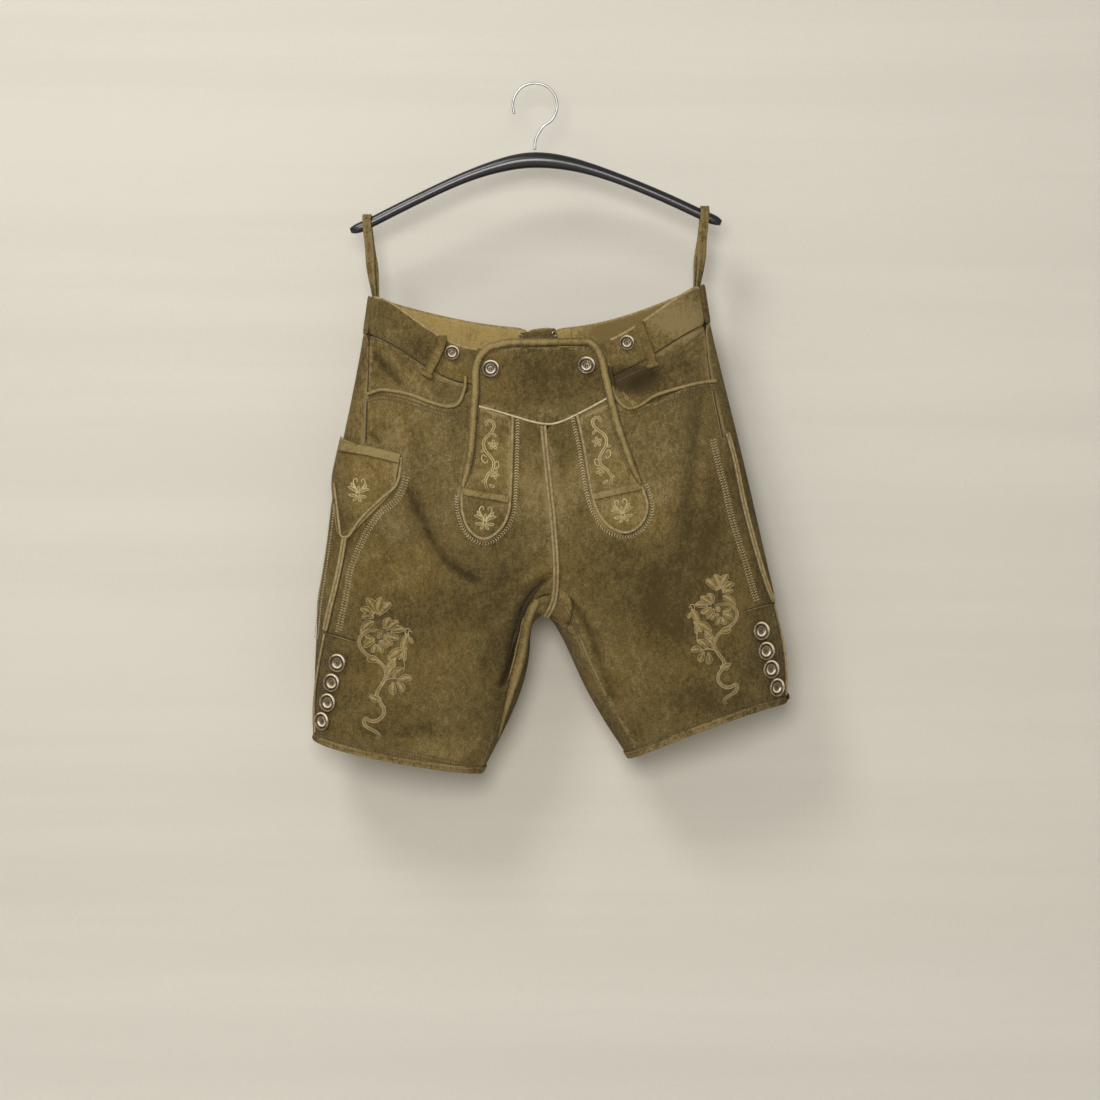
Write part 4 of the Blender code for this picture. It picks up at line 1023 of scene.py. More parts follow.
# The bunched seams at the fork: the edge of the right leg's back rises to it, and a soft lobe hangs at its left.
forkRoll = ((-44, -783), (-27, -722), (-17.5, -690), (-12.5, -662), (-8.5, -641), (-4.5, -630), (-1, -623), (3, -617))
forkEdge = ((-30, -712), (-24, -690), (-19, -664), (-14.5, -642), (-11, -634), (-7.5, -627.5), (-3.5, -621.5))
forkWidths = (0.3, 0.5, 0.75, 0.95, 1.0, 1.0, 0.95, 0.9)
trim(
    "fork_roll", forkRoll, bodyFront, roll["soft"], "lit and rubbed suede edge", lift=0.0002, taper=(0.6, 0.8), smoothing=12,
    widths=forkWidths,
)
trim("fork_edge", forkEdge, bodyFront, roll["thin"], "lit and rubbed suede edge", lift=0.0022, taper=(0.3, 0.5), smoothing=10)
forkBulge = 9.0
lobe = (
    (15, -608), (24, -604.5), (33, -605.5), (40, -611.5), (44, -621), (42, -633), (39, -643), (34, -651),
    (29.5, -645), (25, -638), (14, -638), (11, -624),
)
dressed["fork_lobe"] = patchPiece(
    "fork_lobe", lobe, bodyFront, lift=0.0045, thick=0.0060, paint="lit and rubbed suede edge", bulge=forkBulge,
)
knot = (
    (-2.4, -625.8), (-0.4, -619.5), (4.9, -614.5), (12, -612), (20, -612), (25, -620), (24, -634), (14, -637),
    (3.6, -633.2),
)
dressed["fork_knot"] = patchPiece(
    "fork_knot", knot, bodyFront, lift=0.0062, thick=0.0060, paint="lit and rubbed suede edge", bulge=forkBulge,
)
sewnNames += ["fork_lobe", "fork_knot"]
creases = {
    "lobe": ((41.5, -610.5), (46, -621), (44, -633.5), (41, -644), (36, -653)),
    "knot": ((2.5, -613.5), (11, -610.6), (19, -610.3)),
    "deep": (
        (13.8, -591), (4.5, -601), (-5.5, -613.5), (-14, -630), (-21, -653), (-25.5, -668), (-30, -684),
        (-33.7, -700),
    ),
}
# Each crease is a dark strip of painted shade.
for key, points in creases.items():
    profile, reach = (roll["deep crease"], 22) if key == "deep" else (roll["crease"], 8)
    trim(f"fork_crease_{key}", points, bodyFront, profile, "seam shade", lift=0.0001, taper=(0.15, 0.15), reach=reach)
allFront = Surface(*sewnNames)

for side in bothSides:
    trim(f"strip_binding_{side}", stripEdges[side], allFront, roll["binding"], "piping", lift=0.0002)
    replaced = [f"flap_band_{side}"]
    trim(
        f"strip_band_{side}", stripBands[side], allFront, roll["strip band"], "pale suede", replaced, lift=0.0006,
        rounds=False,
    )
trim(
    "flap_border_roll", flapBorder, allFront, roll["flap"], "lit and rubbed suede edge", ["flap_border"], lift=0.0003,
    taper=(0.55, 0.55), reach=20, smoothing=7,
)
trim(
    "yoke_piping_roll", yokeSeam, allFront, roll["thin"], "cream piping", ["yoke_piping"], lift=0.0004, slot="piping",
)
# A piping's groove gets painted shade down its middle.
pipingLook = {"lift": 0.0003, "slot": "piping", "groove": 0.9}
centreEnds = {"taper": (1.0, 0.9), **pipingLook}
trim("centre_piping_roll", centreSeam, allFront, roll["piping"], "piping", ["centre_front_piping"], **centreEnds)

# The closed seams: down the side below each pocket, and the tops of the plackets. Each is a dark line of painted
# shade, with a rolled edge below it that has painted light.
closedSeams = {
    "side_right": ((-200.3, -379), (-201.1, -402), (-201.8, -429)),
    "side_left": ((212.5, -364), (216.4, -384), (221.3, -407), (224.5, -424)),
    "placket_right": ((-250.5, -656.5), (-236, -659), (-214, -665)),
    "placket_left": ((247, -630.5), (266, -625), (287, -621.5)),
}
for key, points in closedSeams.items():
    lower = [(x - 1.4, z - 1.4) for x, z in points]
    rim = [(x * 0.5, z * 0.4) for x, z in roll["thin"]]
    trim(f"closed_seam_{key}", points, bodyFront, roll["closed seam"], "seam shade", lift=0.0001, taper=(0.5, 0.5))
    trim(f"closed_seam_edge_{key}", lower, bodyFront, rim, "lit and rubbed suede edge", lift=0.0001, taper=(0.4, 0.4))

# The pocket mouths, rolled and turned up at their inner ends.
pocketMouths = {
    "right": (
        (-199.5, -371.5), (-184, -366.5), (-166, -368), (-146, -372.5), (-124, -381), (-106, -386), (-94, -385),
        (-87, -377), (-83, -364), (-82, -350),
    ),
    "left": (
        (216, -355.5), (196, -358), (167, -365.5), (143, -373.5), (125, -384.5), (111, -388.5), (99, -380),
        (93, -367), (91, -352),
    ),
}
for side in bothSides:
    trim(
        f"pocket_roll_{side}", pocketMouths[side], bodyFront, roll["mouth"], "lit and rubbed suede edge", [f"pocket_piping_{side}"],
        lift=0.0004, smoothing=6,
    )

# The knife pocket's bound edge and its top band.
sheathEdge = (
    (-159, -446), (-160.5, -464), (-165, -480), (-180, -493.5), (-196, -508), (-210.5, -523.5), (-222, -540),
    (-231, -541), (-233, -533), (-237, -504), (-241, -478),
)
trim("sheath_binding", sheathEdge, allFront, roll["binding"], "piping", lift=0.0003)
sheathTop = ((-233.5, -433.5), (-198, -439), (-160.5, -448))
trim("sheath_top_band", sheathTop, allFront, roll["wide band"], "pale suede", lift=0.0006, rounds=False)

# Side pipings down to the placket, and the placket's own edge below them.
sidePipings = {
    "right": ((-227, -543), (-231.5, -569), (-236.5, -593), (-244, -623), (-251.5, -654)),
    "left": ((230, -418), (239, -450), (249, -498), (258, -534), (270, -576), (279.5, -604), (286, -620)),
}
placketEdges = {
    "right": ((-252, -658), (-258.5, -690), (-264, -723), (-266, -752), (-265, -779)),
    "left": ((287, -624), (294, -650), (299.5, -678), (302, -706), (302, -733)),
}
sideEnds = {"taper": (1.0, 0.75), "reach": 4, **pipingLook}
for side in bothSides:
    replaced = [f"side_piping_{side}"]
    trim(f"side_piping_roll_{side}", sidePipings[side], allFront, roll["piping"], "piping", replaced, **sideEnds)
    trim(f"placket_edge_{side}", placketEdges[side], allFront, roll["thin"], "piping", lift=0.0003, smoothing=14)
print("trims ready")


# Threads: the rows of top stitches, in pairs beside each seam.
rows = (
    # Right waistband seam.
    ((-203, -297), (-175, -305.5), (-149, -321), (-124, -339)), ((-112, -350), (-95, -354.5), (-76, -359)),
    ((-203, -303), (-175, -311.5), (-149, -327), (-121, -346)), ((-112, -357), (-95, -362), (-78, -366)),
    # Left waistband seam.
    ((94, -351), (112, -342), (132, -332.5)), ((146, -330), (165, -321), (186, -309), (205, -293)),
    ((96, -357), (112, -349), (132, -340)), ((147, -337), (166, -328), (187, -316), (205, -301)),
    # Right mouth.
    ((-202, -378), (-184.5, -373), (-166, -375), (-146, -380), (-124, -388.5), (-106, -393), (-80, -394)),
    ((-202, -382), (-184.5, -377.5), (-166, -379.5), (-146, -384.5), (-124, -393), (-106, -397.5), (-80, -399)),
    # Left mouth.
    ((216, -362), (196, -364.5), (168, -372), (144, -381), (126, -391), (111, -395), (97, -391)),
    ((216, -366.5), (196, -369), (169, -376.5), (145, -385.5), (127, -395.5), (111, -399.5), (98, -396)),
    # Right hem.
    ((-263, -783), (-233, -787), (-185, -795), (-137, -804.5), (-96, -814.5), (-68, -822)),
    ((-264, -779), (-233, -783), (-185, -791), (-137, -800.5), (-96, -810.5), (-66, -818)),
    # Left hem.
    ((113, -805), (138, -791.5), (185, -769), (220, -753.5), (269, -743), (300, -737)),
    ((112, -801), (137, -787.5), (184, -765), (219, -749.5), (268, -739), (299, -733)),
    # Left inseam.
    (
        (26, -617), (32, -619), (38, -623), (43, -633), (50, -648), (65, -684.5), (84, -725.5), (102, -764.5),
        (121, -799),
    ),
    (
        (25, -621), (31, -623), (35, -626), (40, -635), (46.5, -650), (62, -686.5), (81, -727.5), (99, -766.5),
        (117, -800),
    ),
    # Right inseam.
    ((-21, -690), (-28, -710), (-36, -738), (-44, -764), (-59, -811)),
    ((-24.5, -690), (-31.5, -711), (-39.5, -739), (-47.5, -765), (-62.5, -811)),
    # Right placket.
    ((-247.5, -660), (-254, -692), (-259.5, -724), (-261.5, -752), (-260.5, -777)),
    ((-243, -661), (-249.5, -693), (-255, -725), (-257, -753), (-256, -777)),
    # Left placket.
    ((283, -626), (289.5, -652), (295, -679), (297.5, -706), (297.5, -732)),
    ((279, -628), (285.5, -653), (291, -680), (293.5, -707), (293.5, -732)),
    # Across the tops of the plackets.
    ((-248, -659.5), (-232.5, -662), (-214, -667.5)),
    ((245, -632), (266, -627), (284, -624)),
)
for points in rows:
    topStitch(flatLine(points))
sheathRows = (((-233, -438.5), (-199, -444), (-163, -453)), ((-163.5, -447), (-170.5, -447), (-172, -455)))
for points in sheathRows:
    topStitch(flatLine(points, rounds=False), lift=0.0006)
# Inside the flap's border down to where the strips' bands begin, and in chevrons inside the strips' edges.
flapRows = {"inset": 0.0064, "middle": 0.012, "lowest": -0.468, "stripInset": 0.0060, "chevron": 4.4}
border = offsetLine(flatLine(flapBorder), -flapRows["inset"])
for side, inward in (("right", 1), ("left", -1)):
    beside = [point for point in border if (point.x < flapRows["middle"]) == (side == "right")]
    topStitch([point for point in beside if point.y > flapRows["lowest"]])
    zigzag(bright, offsetLine(flatLine(stripEdges[side]), inward * flapRows["stripInset"]), flapRows["chevron"])

zigzagRows = {
    "beside the knife pocket": (
        (-153, -470), (-157, -484), (-166, -499), (-183, -512), (-194.5, -527), (-202, -539), (-209.5, -554.5),
        (-215.5, -569), (-220.5, -583), (-224, -604.5), (-227.5, -622.5), (-231.5, -640.5), (-235, -656),
    ),
    "behind the right side seam": (
        (-243.5, -504), (-247, -534.5), (-251, -564.5), (-255.5, -595), (-259, -618.5), (-262, -643), (-265, -668),
    ),
    "before the left side seam": (
        (212.5, -426), (219.5, -456), (228, -488), (232.5, -509.5), (241, -539.5), (250.5, -569), (258, -595.5),
        (265, -618),
    ),
}
for points in zigzagRows.values():
    for away in (-0.0022, 0.0022):
        zigzag(seamThread, offsetLine(flatLine(points), away), 3.2)

# The buttonholes of the plackets: each a short row, or two close ones, round (x, z), with the drops of its ends.
holes = {
    "right": (((-216, -696.5), (-217.5, -720.5), (-225, -745), (-231.5, -769)), ((0, 0.2), (-1.4, -1.2))),
    "left": (((254, -654), (260, -678), (266, -700), (273, -722)), ((-1, 1),)),
}
halfHole = 4.5
for places, drops in holes.values():
    for x, z in places:
        for start, end in drops:
            topStitch(flatLine(((x - halfHole, z + start), (x + halfHole, z + end))))
channel.done("stitch_channels_painted_shade", "seam shade")
topThread.done("top_stitching", "thread")
bright.done("zigzag_stitching", "bright thread")
seamThread.done("zigzag_seams", "seam thread")


# The turned edge along the top of the waistband: where it runs in x, how finely it is searched for, and how deep
# it sits. The search looks down on the piece along y, and takes the front of its ridge.
waistLook = {
    "steps": 60, "front": -0.085, "rays": 170, "spacing": 0.001, "ridge": 0.0012, "inset": 0.0010, "lift": -0.0006,
}
waistEdges = {"back_right": (-190, -9), "back_left": (24, 196), "front_right": (-194, -66), "front_left": (88, 198)}


def waistEdge(key, start, end):
    tree = meshTree(dressed[f"waistband_{key}"].data)
    found = []
    for i in range(waistLook["steps"] + 1):
        x = (start + (end - start) * i / waistLook["steps"]) * mm
        tops = []
        for step in range(waistLook["rays"]):
            y = waistLook["front"] + step * waistLook["spacing"]
            one = tree.ray_cast(Vector((x, y, 0.0)), Vector((0, 0, -1)))
            if one[0] is not None:
                tops.append(one[0])
        if tops:
            peak = max(place.z for place in tops)
            ridge = [place.y for place in tops if place.z > peak - waistLook["ridge"]]
            found.append(Vector((x, min(ridge) + waistLook["inset"], peak)))
    line = [meanAround(found, i, 2) for i in range(len(found))]
    upward = Vector((0, 0, 1))
    builder = Builder()
    frames = [frameOf(at, heading(line, i).normalized(), upward, waistLook["lift"]) for i, at in enumerate(line)]
    builder.sweep(frames, roll["waist"])
    builder.done(f"waist_edge_{key}", "piping")


for key, (start, end) in waistEdges.items():
    waistEdge(key, start, end)


# Inside the back: a tongue behind the lacing with its two rings.
tongueOutline = (
    (-19, -296), (-10, -294.3), (4, -293), (17, -291.8), (25, -291.6), (26, -322), (4, -326), (-18, -322),
)
dressed["back_tongue"] = patchPiece(
    "back_tongue", tongueOutline, behind, lift=0.0022, thick=0.0018, paint="lit and rubbed suede edge",
)


# Belt loops: a strap with rolled edges that stands off the waistband, with a stitched tab under its foot.
strap = scaled(
    (
        (-5.0, -0.5), (-5.3, 0.9), (-4.6, 1.9), (-3.6, 1.6), (-2.8, 1.0), (2.8, 1.0), (3.6, 1.6), (4.6, 1.9),
        (5.3, 0.9), (5.0, -0.5),
    )
)
loops = {
    "right": ((-109.5, -300), (-110.5, -314), (-117, -329), (-124.5, -342), (-128, -348)),
    "left": ((124, -283), (126, -298), (132, -313), (137.5, -330), (139.5, -337)),
}
stands = (1.5, 3.4, 4.8, 5.6, 5.6, 5.0, 3.6, 1.2)
tab = {
    "half": 0.0075, "lift": 0.0004, "ahead": 0.001,
    "shares": (-1, -0.9, -0.3, 0.3, 0.9, 1), "sizes": (0.7, 1, 1, 1, 1, 0.7),
}
for side in bothSides:
    frames = lay(flatLine(loops[side]), bodyFront, bridge=0.004, smoothing=0.006)
    for i, (at, across, out) in enumerate(frames):
        frames[i] = (at + out * mm * readAlong(stands, i, len(frames)), across, out)
    builder = Builder()
    builder.sweep(frames, strap)
    foot, across, out = frames[-1]
    ahead = (foot - frames[-4][0]).normalized()
    frames = [
        (foot + across * share * tab["half"] + out * tab["lift"] + ahead * tab["ahead"], -ahead, out)
        for share in tab["shares"]
    ]
    builder.sweep(frames, roll["tab"], tab["sizes"], tab["sizes"])
    dressed[f"belt_loop_front_{side}"] = builder.done(f"belt_loop_front_{side}_strap", "pale suede")
    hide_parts(f"belt_loop_front_{side}")


# Turned pieces: modelled once from a section of (radius, height), from the outside foot in to the middle.
def modelTurned(section, sides, closed=False):
    deselectAll()
    bpy.ops.mesh.primitive_circle_add(vertices=sides, radius=section[0][0])
    piece = bpy.context.object
    bpy.ops.object.mode_set(mode="EDIT")
    bpy.ops.mesh.select_all(action="SELECT")
    bpy.ops.transform.translate(value=(0, 0, section[0][1]))
    for (wide, low), (narrow, high) in zip(section, section[1:]):
        bpy.ops.mesh.extrude_region_move(TRANSFORM_OT_translate={"value": (0, 0, high - low)})
        bpy.ops.transform.resize(value=(narrow / wide, narrow / wide, 1), center_override=(0, 0, 0))
    if closed:
        bpy.ops.mesh.select_all(action="SELECT")
        bpy.ops.mesh.remove_doubles(threshold=1e-4)
    else:
        bpy.ops.mesh.edge_face_add()
        bpy.ops.mesh.inset(thickness=section[-1][0] * 0.45, depth=0)
    bpy.ops.mesh.select_all(action="SELECT")
    bpy.ops.mesh.normals_make_consistent(inside=False)
    bpy.ops.object.mode_set(mode="OBJECT")
    subdivide(piece, 1)
    return piece


# A finished copy of a model of radius 1 and height 1, at a place and facing out. Its painted highlight comes from
# above on its rim, and from below and the sides in its hollow.
def placeCopy(model, name, at, out, radius, height, paint, slot):
    mesh = model.data.copy()
    mesh.name = name
    across = Vector((0, 0, 1)).cross(out).normalized()
    upward = out.cross(across)
    local = meshArray(mesh)
    axes = np.array([across, upward, out], float) * np.array([[radius], [radius], [height]])
    setAttribute(mesh, "rise", local[:, 2])
    reach = np.hypot(local[:, 0], local[:, 1])
    shownReach = np.maximum(reach, 0.05)
    upper = (0.45 * local[:, 0] + 0.89 * local[:, 1]) / shownReach
    lower = (np.abs(0.5 * local[:, 0]) - 0.8 * local[:, 1]) / shownReach
    setAttribute(mesh, "reach", reach)
    setAttribute(mesh, "gleam", np.where(reach > 0.7, upper, lower))
    mesh.vertices.foreach_set("co", (local @ axes + np.array(at)).astype(np.float32).ravel())
    mesh.update()
    mesh.materials.clear()
    mesh.materials.append(paints[paint])
    mesh.shade_smooth()
    return addPiece(name, mesh, slot)


# The middle of a node's underside, the way it faces, its radius and its height.
def seatOf(nodeName, toward=1):
    points = meshArray(nodes[nodeName].data)
    middle = points.mean(axis=0)
    out = np.linalg.svd(points - middle, full_matrices=False)[2][2]
    out = out if out[1] * toward < 0 else -out
    rise = (points - middle) @ out
    flat = points - middle - np.outer(rise, out)
    radius, height = np.linalg.norm(flat, axis=1).max(), np.ptp(rise)
    return Vector(middle + out * rise.min()), Vector(out), float(radius), float(height)


buttonSection = (
    (0.92, 0.0), (1.0, 0.30), (1.0, 0.66), (0.96, 0.92), (0.90, 1.0), (0.84, 0.92), (0.80, 0.62), (0.76, 0.22),
    (0.66, 0.14), (0.61, 0.34), (0.57, 0.74), (0.50, 0.84), (0.43, 0.74), (0.38, 0.42), (0.30, 0.34),
)
eyeletSection = ((0.55, 0.0), (0.98, 0.0), (1.0, 0.35), (0.88, 0.85), (0.74, 1.0), (0.60, 0.75), (0.55, 0.0))
button = modelTurned(buttonSection, 20)
eyelet = modelTurned(eyeletSection, 16, True)
shanks = Builder()
inner = Surface("back_tongue", *backNames)
buttonLook = {"legSize": 1.18, "threads": (-0.10, 0.10), "threadHeight": 0.46, "threadLength": 0.42}
for part in frame["record"]["subparts"]:
    name = part["node"]
    if "button" in name:
        at, out, radius, height = seatOf(name)
        radius *= buttonLook["legSize"] if "leg" in name else 1.0
        made = placeCopy(button, "horn_" + name, at, out, radius, height, "horn", "horn")
        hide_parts(name)
        upward = (Vector((0, 0, 1)) - out * out.z).normalized()
        across = upward.cross(out)
        stitch = modelStitch(radius * buttonLook["threadLength"], 0.0010, 0.0007)
        for share in buttonLook["threads"]:
            raised = at + out * height * buttonLook["threadHeight"]
            shanks.bead(raised + across * radius * share, upward, out, stitch)
    elif "eyelet" in name:
        at, out, radius, height = seatOf(name, -1)
        made = placeCopy(eyelet, "ring_" + name, at, out, radius, height, "metal", "metal")
        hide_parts(name)
shanks.done("button_threads", "button thread")
tongueRings = {"places": ((-17.6, -300.6), (22.9, -296.9)), "lift": 0.0004, "radius": 0.0036, "height": 0.0018}
for turn, (x, z) in enumerate(tongueRings["places"], 1):
    place, out = inner.at(x * mm, z * mm)
    at = place + out * tongueRings["lift"]
    placeCopy(eyelet, f"ring_front_{turn}", at, out, tongueRings["radius"], tongueRings["height"], "metal", "metal")
for piece in (button, eyelet):
    bpy.data.objects.remove(piece, do_unlink=True)
print("buttons and eyelets ready")


# Raised embroidery: padded satin leaves and corded stems. Drawn in millimetres on its own small sheet.
class Motif:
    def __init__(self, at, size, turn, flip):
        self.at, self.size, self.flip = Vector(at) * mm, size, flip
        self.cosine, self.sine = math.cos(math.radians(turn)), math.sin(math.radians(turn))
        self.padding, self.cords = Builder(), Builder()

    def place(self, point):
        x, z = point[0] * self.flip * self.size * mm, point[1] * self.size * mm
        return self.at + Vector((x * self.cosine - z * self.sine, x * self.sine + z * self.cosine))

    def sweep(self, builder, line, wide, high, shares, lift=-0.0001):
        frames = lay(line, allFront, lift, smoothing=0.0015)
        if len(frames) > 2:
            sizes = [shares(i / (len(frames) - 1)) for i in range(len(frames))]
            widths = [wide * self.size * mm * one for one in sizes]
            builder.sweep(frames, dome(1.0, 1.0), widths, [high * mm * one for one in sizes])

    # A padded teardrop from its foot to its rounded tip, bent to one side, with a cord round it.
    def leaf(self, foot, tip, wide, bend=0.12, high=1.0, cord=0.85):
        foot, tip = self.place(foot), self.place(tip)
        span = tip - foot
        side = Vector((-span.y, span.x))
        line = [foot.lerp(tip, t) + side * bend * self.flip * 4 * t * (1 - t) for t in (i / 9 for i in range(10))]

        def share(t):
            return 0.14 + 0.86 * max(math.sin(math.pi * t**1.4), 0) ** 0.7

        self.sweep(self.padding, line, wide, high, share)
        half = side.normalized() * wide * self.size * mm / 2
        rim = [point + half * share(i / 9) * 1.04 for i, point in enumerate(line)]
        rim += [point - half * share(i / 9) * 1.04 for i, point in reversed(list(enumerate(line)))]
        self.sweep(self.cords, smoothLine(rim, 0.0013), cord, 0.65, lambda t: 1.0, 0.0001)

    # A cord, or with a twin two of them beside a padded middle, thin at both ends.
    def stem(self, points, wide=1.2, high=0.6, twin=0.0):
        line = smoothLine([self.place(point) for point in points], 0.0018)

        def share(t):
            return 0.45 + 0.55 * min(1, 8 * t, 8 * (1 - t))

        if twin:
            self.sweep(self.padding, line, twin * 0.95, 0.9, share)
        for away in (-twin / 2, twin / 2) if twin else (0,):
            moved = offsetLine(line, away * mm) if away else line
            self.sweep(self.cords, moved, wide, high, share, 0.0001)

    def done(self, name, paint="embroidery"):
        if self.padding.points:
            # The padding gets painted light along each leaf's middle and painted shade at its sides.
            self.padding.done(f"{name}_padding", "padding", rounded=1.2)
        self.cords.done(name, paint)


# A flower: five petals round a middle.
def flower(motif, x, z, reach, wide, start=90):
    for i in range(5):
        turn = math.radians(start + 72 * i)
        across, up = math.cos(turn), math.sin(turn)
        motif.leaf((x + across, z + up), (x + reach * across, z + reach * up), wide, 0.0, 0.8)


# A sprig: two stems that curl in at the top, with leaves at their foot.
curl = ((0.6, -3), (2.2, 2), (5.6, 6.5), (7.4, 11), (5.6, 14.5), (2.8, 13.8), (2.6, 11.2), (4.2, 10.4))
sprigLeaves = (
    ((1.2, -3), (13, 3.6), 3.2, 0.14, 0.8), ((1.2, -4), (11, -5.2), 3.0, -0.12, 0.8),
    ((0.8, -5), (5.2, -12), 2.6, -0.1, 0.8), ((4.6, 3), (9.6, 9), 2.4, -0.1, 0.7),
)


def sprig(motif):
    for flip in (-1, 1):
        motif.stem([(flip * x, z) for x, z in curl], 1.3, 0.7)
        for (x, z), (tipX, tipZ), wide, bend, high in sprigLeaves:
            motif.leaf((flip * x, z), (flip * tipX, tipZ), wide, bend * flip, high)
    motif.leaf((0, -2), (0, 6.5), 2.6, 0, 0.8)


# The spray on the legs: a plume of leaves, a vine in an S, a mountain goat climbing it, and curls at the foot.
sprayVine = (
    (8, -22), (-4, -20), (-14, -22), (-22, -30), (-22, -40), (-14, -50), (-3, -56), (7, -64), (11, -74), (8, -84),
    (3, -92), (-1, -100), (3, -110), (8, -118), (7, -127), (-1, -134), (-9, -134), (-16, -131), (-17, -138),
    (-12, -143), (-4, -147), (2, -152), (-1, -158),
)
# Each leaf: its foot, its tip, its width and its bend, and for the goat's parts also their height.
sprayLeaves = (
    ((1, 0), (5, 21), 8.0, 0.08), ((3, -1), (17, 15), 7.2, 0.08), ((-2, 1), (-13, 20), 7.0, -0.1),
    ((-4, -1), (-21, 7), 6.0, -0.12), ((-4, -4), (-19, -3), 5.6, -0.1), ((-21, -24), (-5, -9), 6.6, 0.12),
    ((9, -18), (16, -4), 6.6, 0.06), ((12, -20), (26, -8), 6.6, 0.06), ((17, -22), (34, -18), 6.0, 0.1),
    ((12, -23), (27, -30), 5.8, -0.1), ((9, -25), (19, -38), 5.6, -0.1),
    ((-3, -34), (-17, -41), 6.0, -0.14), ((-3, -31), (-15, -27), 5.0, 0.1), ((-2, -37), (-6, -48), 5.0, 0.08),
    ((1, -37), (7, -48), 5.2, -0.08), ((2, -34), (14, -40), 5.6, 0.12), ((1, -30), (5, -24), 4.6, 0.0),
    ((3, -60), (-13, -56), 6.4, -0.1), ((5, -106), (-10, -103), 6.2, 0.14),
    ((12, -80), (20, -66), 5.6, 0.1), ((20, -80), (33, -67), 6.2, 0.1), ((26, -82), (43, -80), 6.2, 0.1),
    ((25, -84), (32, -97), 6.2, 0.08), ((20, -85), (20, -101), 6.2, -0.06),
)
# The goat: haunch and back, neck, head and legs. Its horns are stems.
goatParts = (
    ((38, -42), (14, -56), 10.0, -0.08, 1.7), ((31, -50), (39, -24), 8.0, 0.06, 1.6),
    ((36, -28), (45, -36), 4.6, 0.1, 1.2), ((20, -50), (12, -66), 6.0, 0.12, 1.2),
    ((23, -52), (22, -66), 4.4, -0.1, 1.0), ((36, -40), (35, -58), 4.4, -0.06, 1.1),
    ((33, -44), (27, -56), 3.4, 0.14, 0.9),
)


def spray(motif):
    for foot, tip, wide, bend in sprayLeaves:
        motif.leaf(foot, tip, wide * 1.36, bend, 2.0)
    motif.stem(sprayVine, 0.95, 0.65, 3.2)
    motif.stem(((6, -90), (9, -84), (18, -80), (28, -81)), 1.4, 0.7)
    motif.stem(((12, -72), (16, -64), (21, -58), (24, -54)), 1.4, 0.7)
    motif.stem(((34, -70), (34, -60), (32, -54)), 1.0, 0.6)
    for leaf in goatParts:
        motif.leaf(*leaf)
    motif.stem(((37, -27), (35, -20), (38, -17), (42, -19)), 1.2, 0.9)
    motif.stem(((39, -26), (40, -20), (44, -22)), 1.1, 0.8)


# The vine on a strip: an S with curled ends, two blossoms and a few leaves.
stripVine = (
    (-2, 0), (-4, 3), (-1, 6), (4, 4.5), (5.6, -1), (2, -8), (-4, -14), (-7, -21), (-5, -29), (1, -36), (5, -43),
    (4, -51), (-2, -58), (-5, -66), (-3, -74),
)


def vine(motif):
    motif.stem(stripVine, 1.05, 0.8, 2.6)
    motif.stem(((-3, -37), (-8, -34), (-9, -40), (-4, -44), (-2, -40)), 1.1, 0.6)
    motif.stem(((5, -45), (10, -42), (11, -48), (7, -51), (5, -48)), 1.1, 0.6)
    flower(motif, 4.5, -22.5, 6.0, 3.0)
    flower(motif, 6.5, -57.5, 5.4, 2.8, start=60)
    motif.leaf((-6, -26), (-10, -31), 2.6)
    motif.leaf((-3, -62), (-9, -66), 2.8)
    motif.leaf((0, -69), (6, -72), 2.8, -0.1)
    motif.leaf((3, -9), (8, -13), 2.6, 0.1)


# Where each motif lies, its size, how far it is turned in degrees, which way round it is, and its silk.
motifs = {
    "leg_right": (spray, (-187.5, -633), 0.95, 0.0, 1, "embroidery"),
    "leg_left": (spray, (219, -603.5), 0.87, 3.4, -1, "embroidery"),
    "strip_right": (vine, (-53.5, -409), 1.0, 0.0, 1, "bright embroidery"),
    "strip_left": (vine, (74, -405), 1.0, 10, -1, "bright embroidery"),
    "strip_end_right": (sprig, (-58.5, -519), 1.0, -4, 1, "bright embroidery"),
    "strip_end_left": (sprig, (103.5, -510.5), 1.0, 10, 1, "bright embroidery"),
    "knife_pocket": (sprig, (-210.5, -487), 1.0, -6, 1, "bright embroidery"),
}
for name, (draw, at, size, turn, flip, paint) in motifs.items():
    motif = Motif(at, size, turn, flip)
    draw(motif)
    motif.done("embroidery_" + name, paint)
print("embroidery ready")


# The lace: its route in x and z and how far it stands off the back, up one side and down the other. Above the
# top of the back it keeps the distance that it has there.
laceLook = {
    "thickness": 3.0,
    "top": -297,
    "route": (
        (-29, -372, 3.4), (-26, -350, 3.4), (-18, -330, 3.6), (-12, -318, 4.0), (-13, -308, 4.2), (-12, -300, 4.4),
        (-7, -294, 4.8), (0, -292.0, 5.2), (9, -290.9, 5.4), (18, -290.7, 5.2), (25, -296, 4.6), (25, -308, 4.2),
        (24, -318, 4.0), (31, -331, 3.6), (40, -348, 3.4), (42, -366, 3.4),
    ),
}


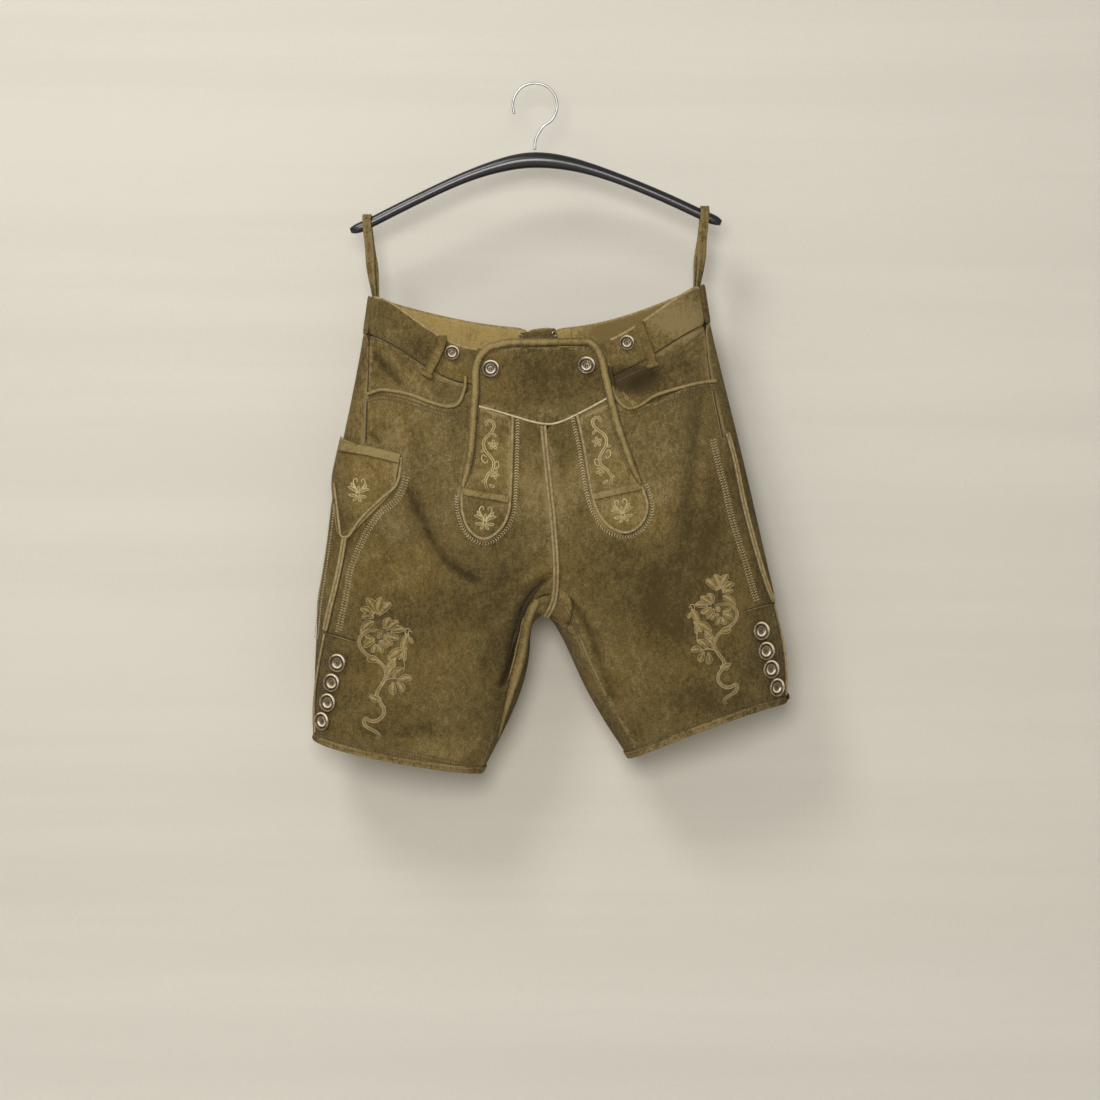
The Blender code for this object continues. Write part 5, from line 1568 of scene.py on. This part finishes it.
def buildLace():
    places = []
    for x, z, off in laceLook["route"]:
        here, _ = behind.at(x * mm, min(z, laceLook["top"]) * mm, -1)
        places.append(Vector((here.x, here.y + off * mm, z * mm)))
    line = smoothLine(places, 0.002)
    curve = bpy.data.curves.new("lace", "CURVE")
    curve.dimensions = "3D"
    curve.bevel_depth = laceLook["thickness"] / 2 * mm
    curve.bevel_resolution = 3
    curve.use_fill_caps = True
    spline = curve.splines.new("POLY")
    spline.points.add(len(line) - 1)
    for point, place in zip(spline.points, line):
        point.co = (*place, 1)
    curve.materials.append(paints["piping"])
    made = addPiece("lace", curve, "leather")
    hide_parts("back_lace")
    length = sum((b - a).length for a, b in zip(line, line[1:]))
    print("lace length", length)
    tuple(line[0])


buildLace()
print("threads ready")
# What the parts left as they are wear.
slotPaints = {
    "leather": "lit and rubbed suede edge", "inside": "flesh side", "piping": "piping", "horn": "horn", "metal": "metal",
    "steel": "steel", "plastic": "plastic",
}
for part in frame["record"]["subparts"]:
    node = nodes[part["node"]]
    node.data.materials.clear()
    node.data.materials.append(paints[slotPaints[part["material_slot"]]])


# The room: a wall close behind, a floor and soft light.
room = {"wallY": 0.092, "floorZ": -1.26, "topZ": 6.0, "nearY": -8.0, "reach": 9.0, "cove": 0.25}


def buildRoom():
    deselectAll()
    reach, wall, floor, cove = room["reach"], room["wallY"], room["floorZ"], room["cove"]
    profile = [(wall, room["topZ"]), (wall, floor + cove)]
    profile += [
        (wall - cove * (1 - math.cos(turn)), floor + cove * (1 - math.sin(turn)))
        for turn in (math.radians(5 * i) for i in range(1, 18))
    ]
    profile += [(wall - cove, floor), (room["nearY"], floor)]
    mesh = bpy.data.meshes.new("room")
    points = [(x, y, z) for y, z in profile for x in (-reach, reach)]
    mesh.from_pydata(points, [], [(2 * i, 2 * i + 2, 2 * i + 3, 2 * i + 1) for i in range(len(profile) - 1)])
    mesh.shade_smooth()
    made = bpy.data.objects.new("room", mesh)
    link(made)
    made.visible_shadow = False
    paint = Paint("pale wall", roughness=0.9)
    speck = paint.noise(260, 3, 0.6)
    creases = paint.noise(2.2, 5, 0.6, paint.stretched(0.35, 1.0, 7.0))
    tint = paint.mix(
        paint.spread(0.35 * speck + 0.65 * creases, 0.38, 0.62), (0.550, 0.522, 0.462), (0.578, 0.550, 0.488),
    )
    paint.finish(tint, bump=speck + 3.0 * creases, strength=0.12, distance=0.0006)
    # Its far side is clear, so that the object also shows from behind.
    output = paint.tree.nodes["Material Output"]
    farSide = paint.node("NewGeometry", output=6)
    clear = paint.node("BsdfTransparent")
    shown = paint.node("MixShader", inputs={0: farSide, 1: Signal(paint, paint.shader.outputs[0]), 2: clear})
    paint.tree.links.new(shown.socket, output.inputs[0])
    mesh.materials.append(paint.material)
    made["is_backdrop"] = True


# Lights: where each is, its size, its power and its colour.
lightTarget = (0.02, 0.0, -0.55)
lights = {
    "key": ((-1.1, -2.0, 1.5), 1.0, 36, (1.0, 0.985, 0.955)),
    "front": ((-0.2, -3.3, 0.1), 1.0, 62, (1.0, 0.99, 0.965)),
    "behind": ((-0.8, 2.4, 0.6), 1.8, 45, (1.0, 0.98, 0.95)),
}
ambient = {"colour": (0.83, 0.83, 0.82, 1), "strength": 0.42}


def areaLight(name, place, size, power, colour):
    lamp = bpy.data.lights.new(name, "AREA")
    lamp.shape, lamp.size, lamp.energy, lamp.color = "DISK", size, power, colour
    made = bpy.data.objects.new(name, lamp)
    made.location = place
    made.rotation_euler = (Vector(lightTarget) - Vector(place)).to_track_quat("-Z", "Y").to_euler()
    link(made)


def buildLight():
    for name, settings in lights.items():
        areaLight(name, *settings)
    world = bpy.data.worlds.new("studio")
    world.use_nodes = True
    background = world.node_tree.nodes["Background"]
    background.inputs["Color"].default_value = ambient["colour"]
    background.inputs["Strength"].default_value = ambient["strength"]
    bpy.context.scene.world = world


view = {"target": (0.018, -0.03, -0.558), "distance": 3.0, "elevation": 3.0, "half": 0.66}


def buildCamera():
    camera = bpy.data.cameras.new("camera")
    camera.sensor_fit = "HORIZONTAL"
    camera.angle = 2 * math.atan(view["half"] / view["distance"])
    made = bpy.data.objects.new("camera", camera)
    raised = math.radians(view["elevation"])
    away = Vector((0, -math.cos(raised), math.sin(raised)))
    made.location = Vector(view["target"]) + away * view["distance"]
    made.rotation_euler = (-away).to_track_quat("-Z", "Y").to_euler()
    link(made)
    bpy.context.scene.camera = made


buildRoom()
buildLight()
buildCamera()
bpy.context.scene.view_settings.view_transform = "Standard"
print("room ready")

corners = [[list(corner) for corner in box] for box in (cadBounds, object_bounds())]
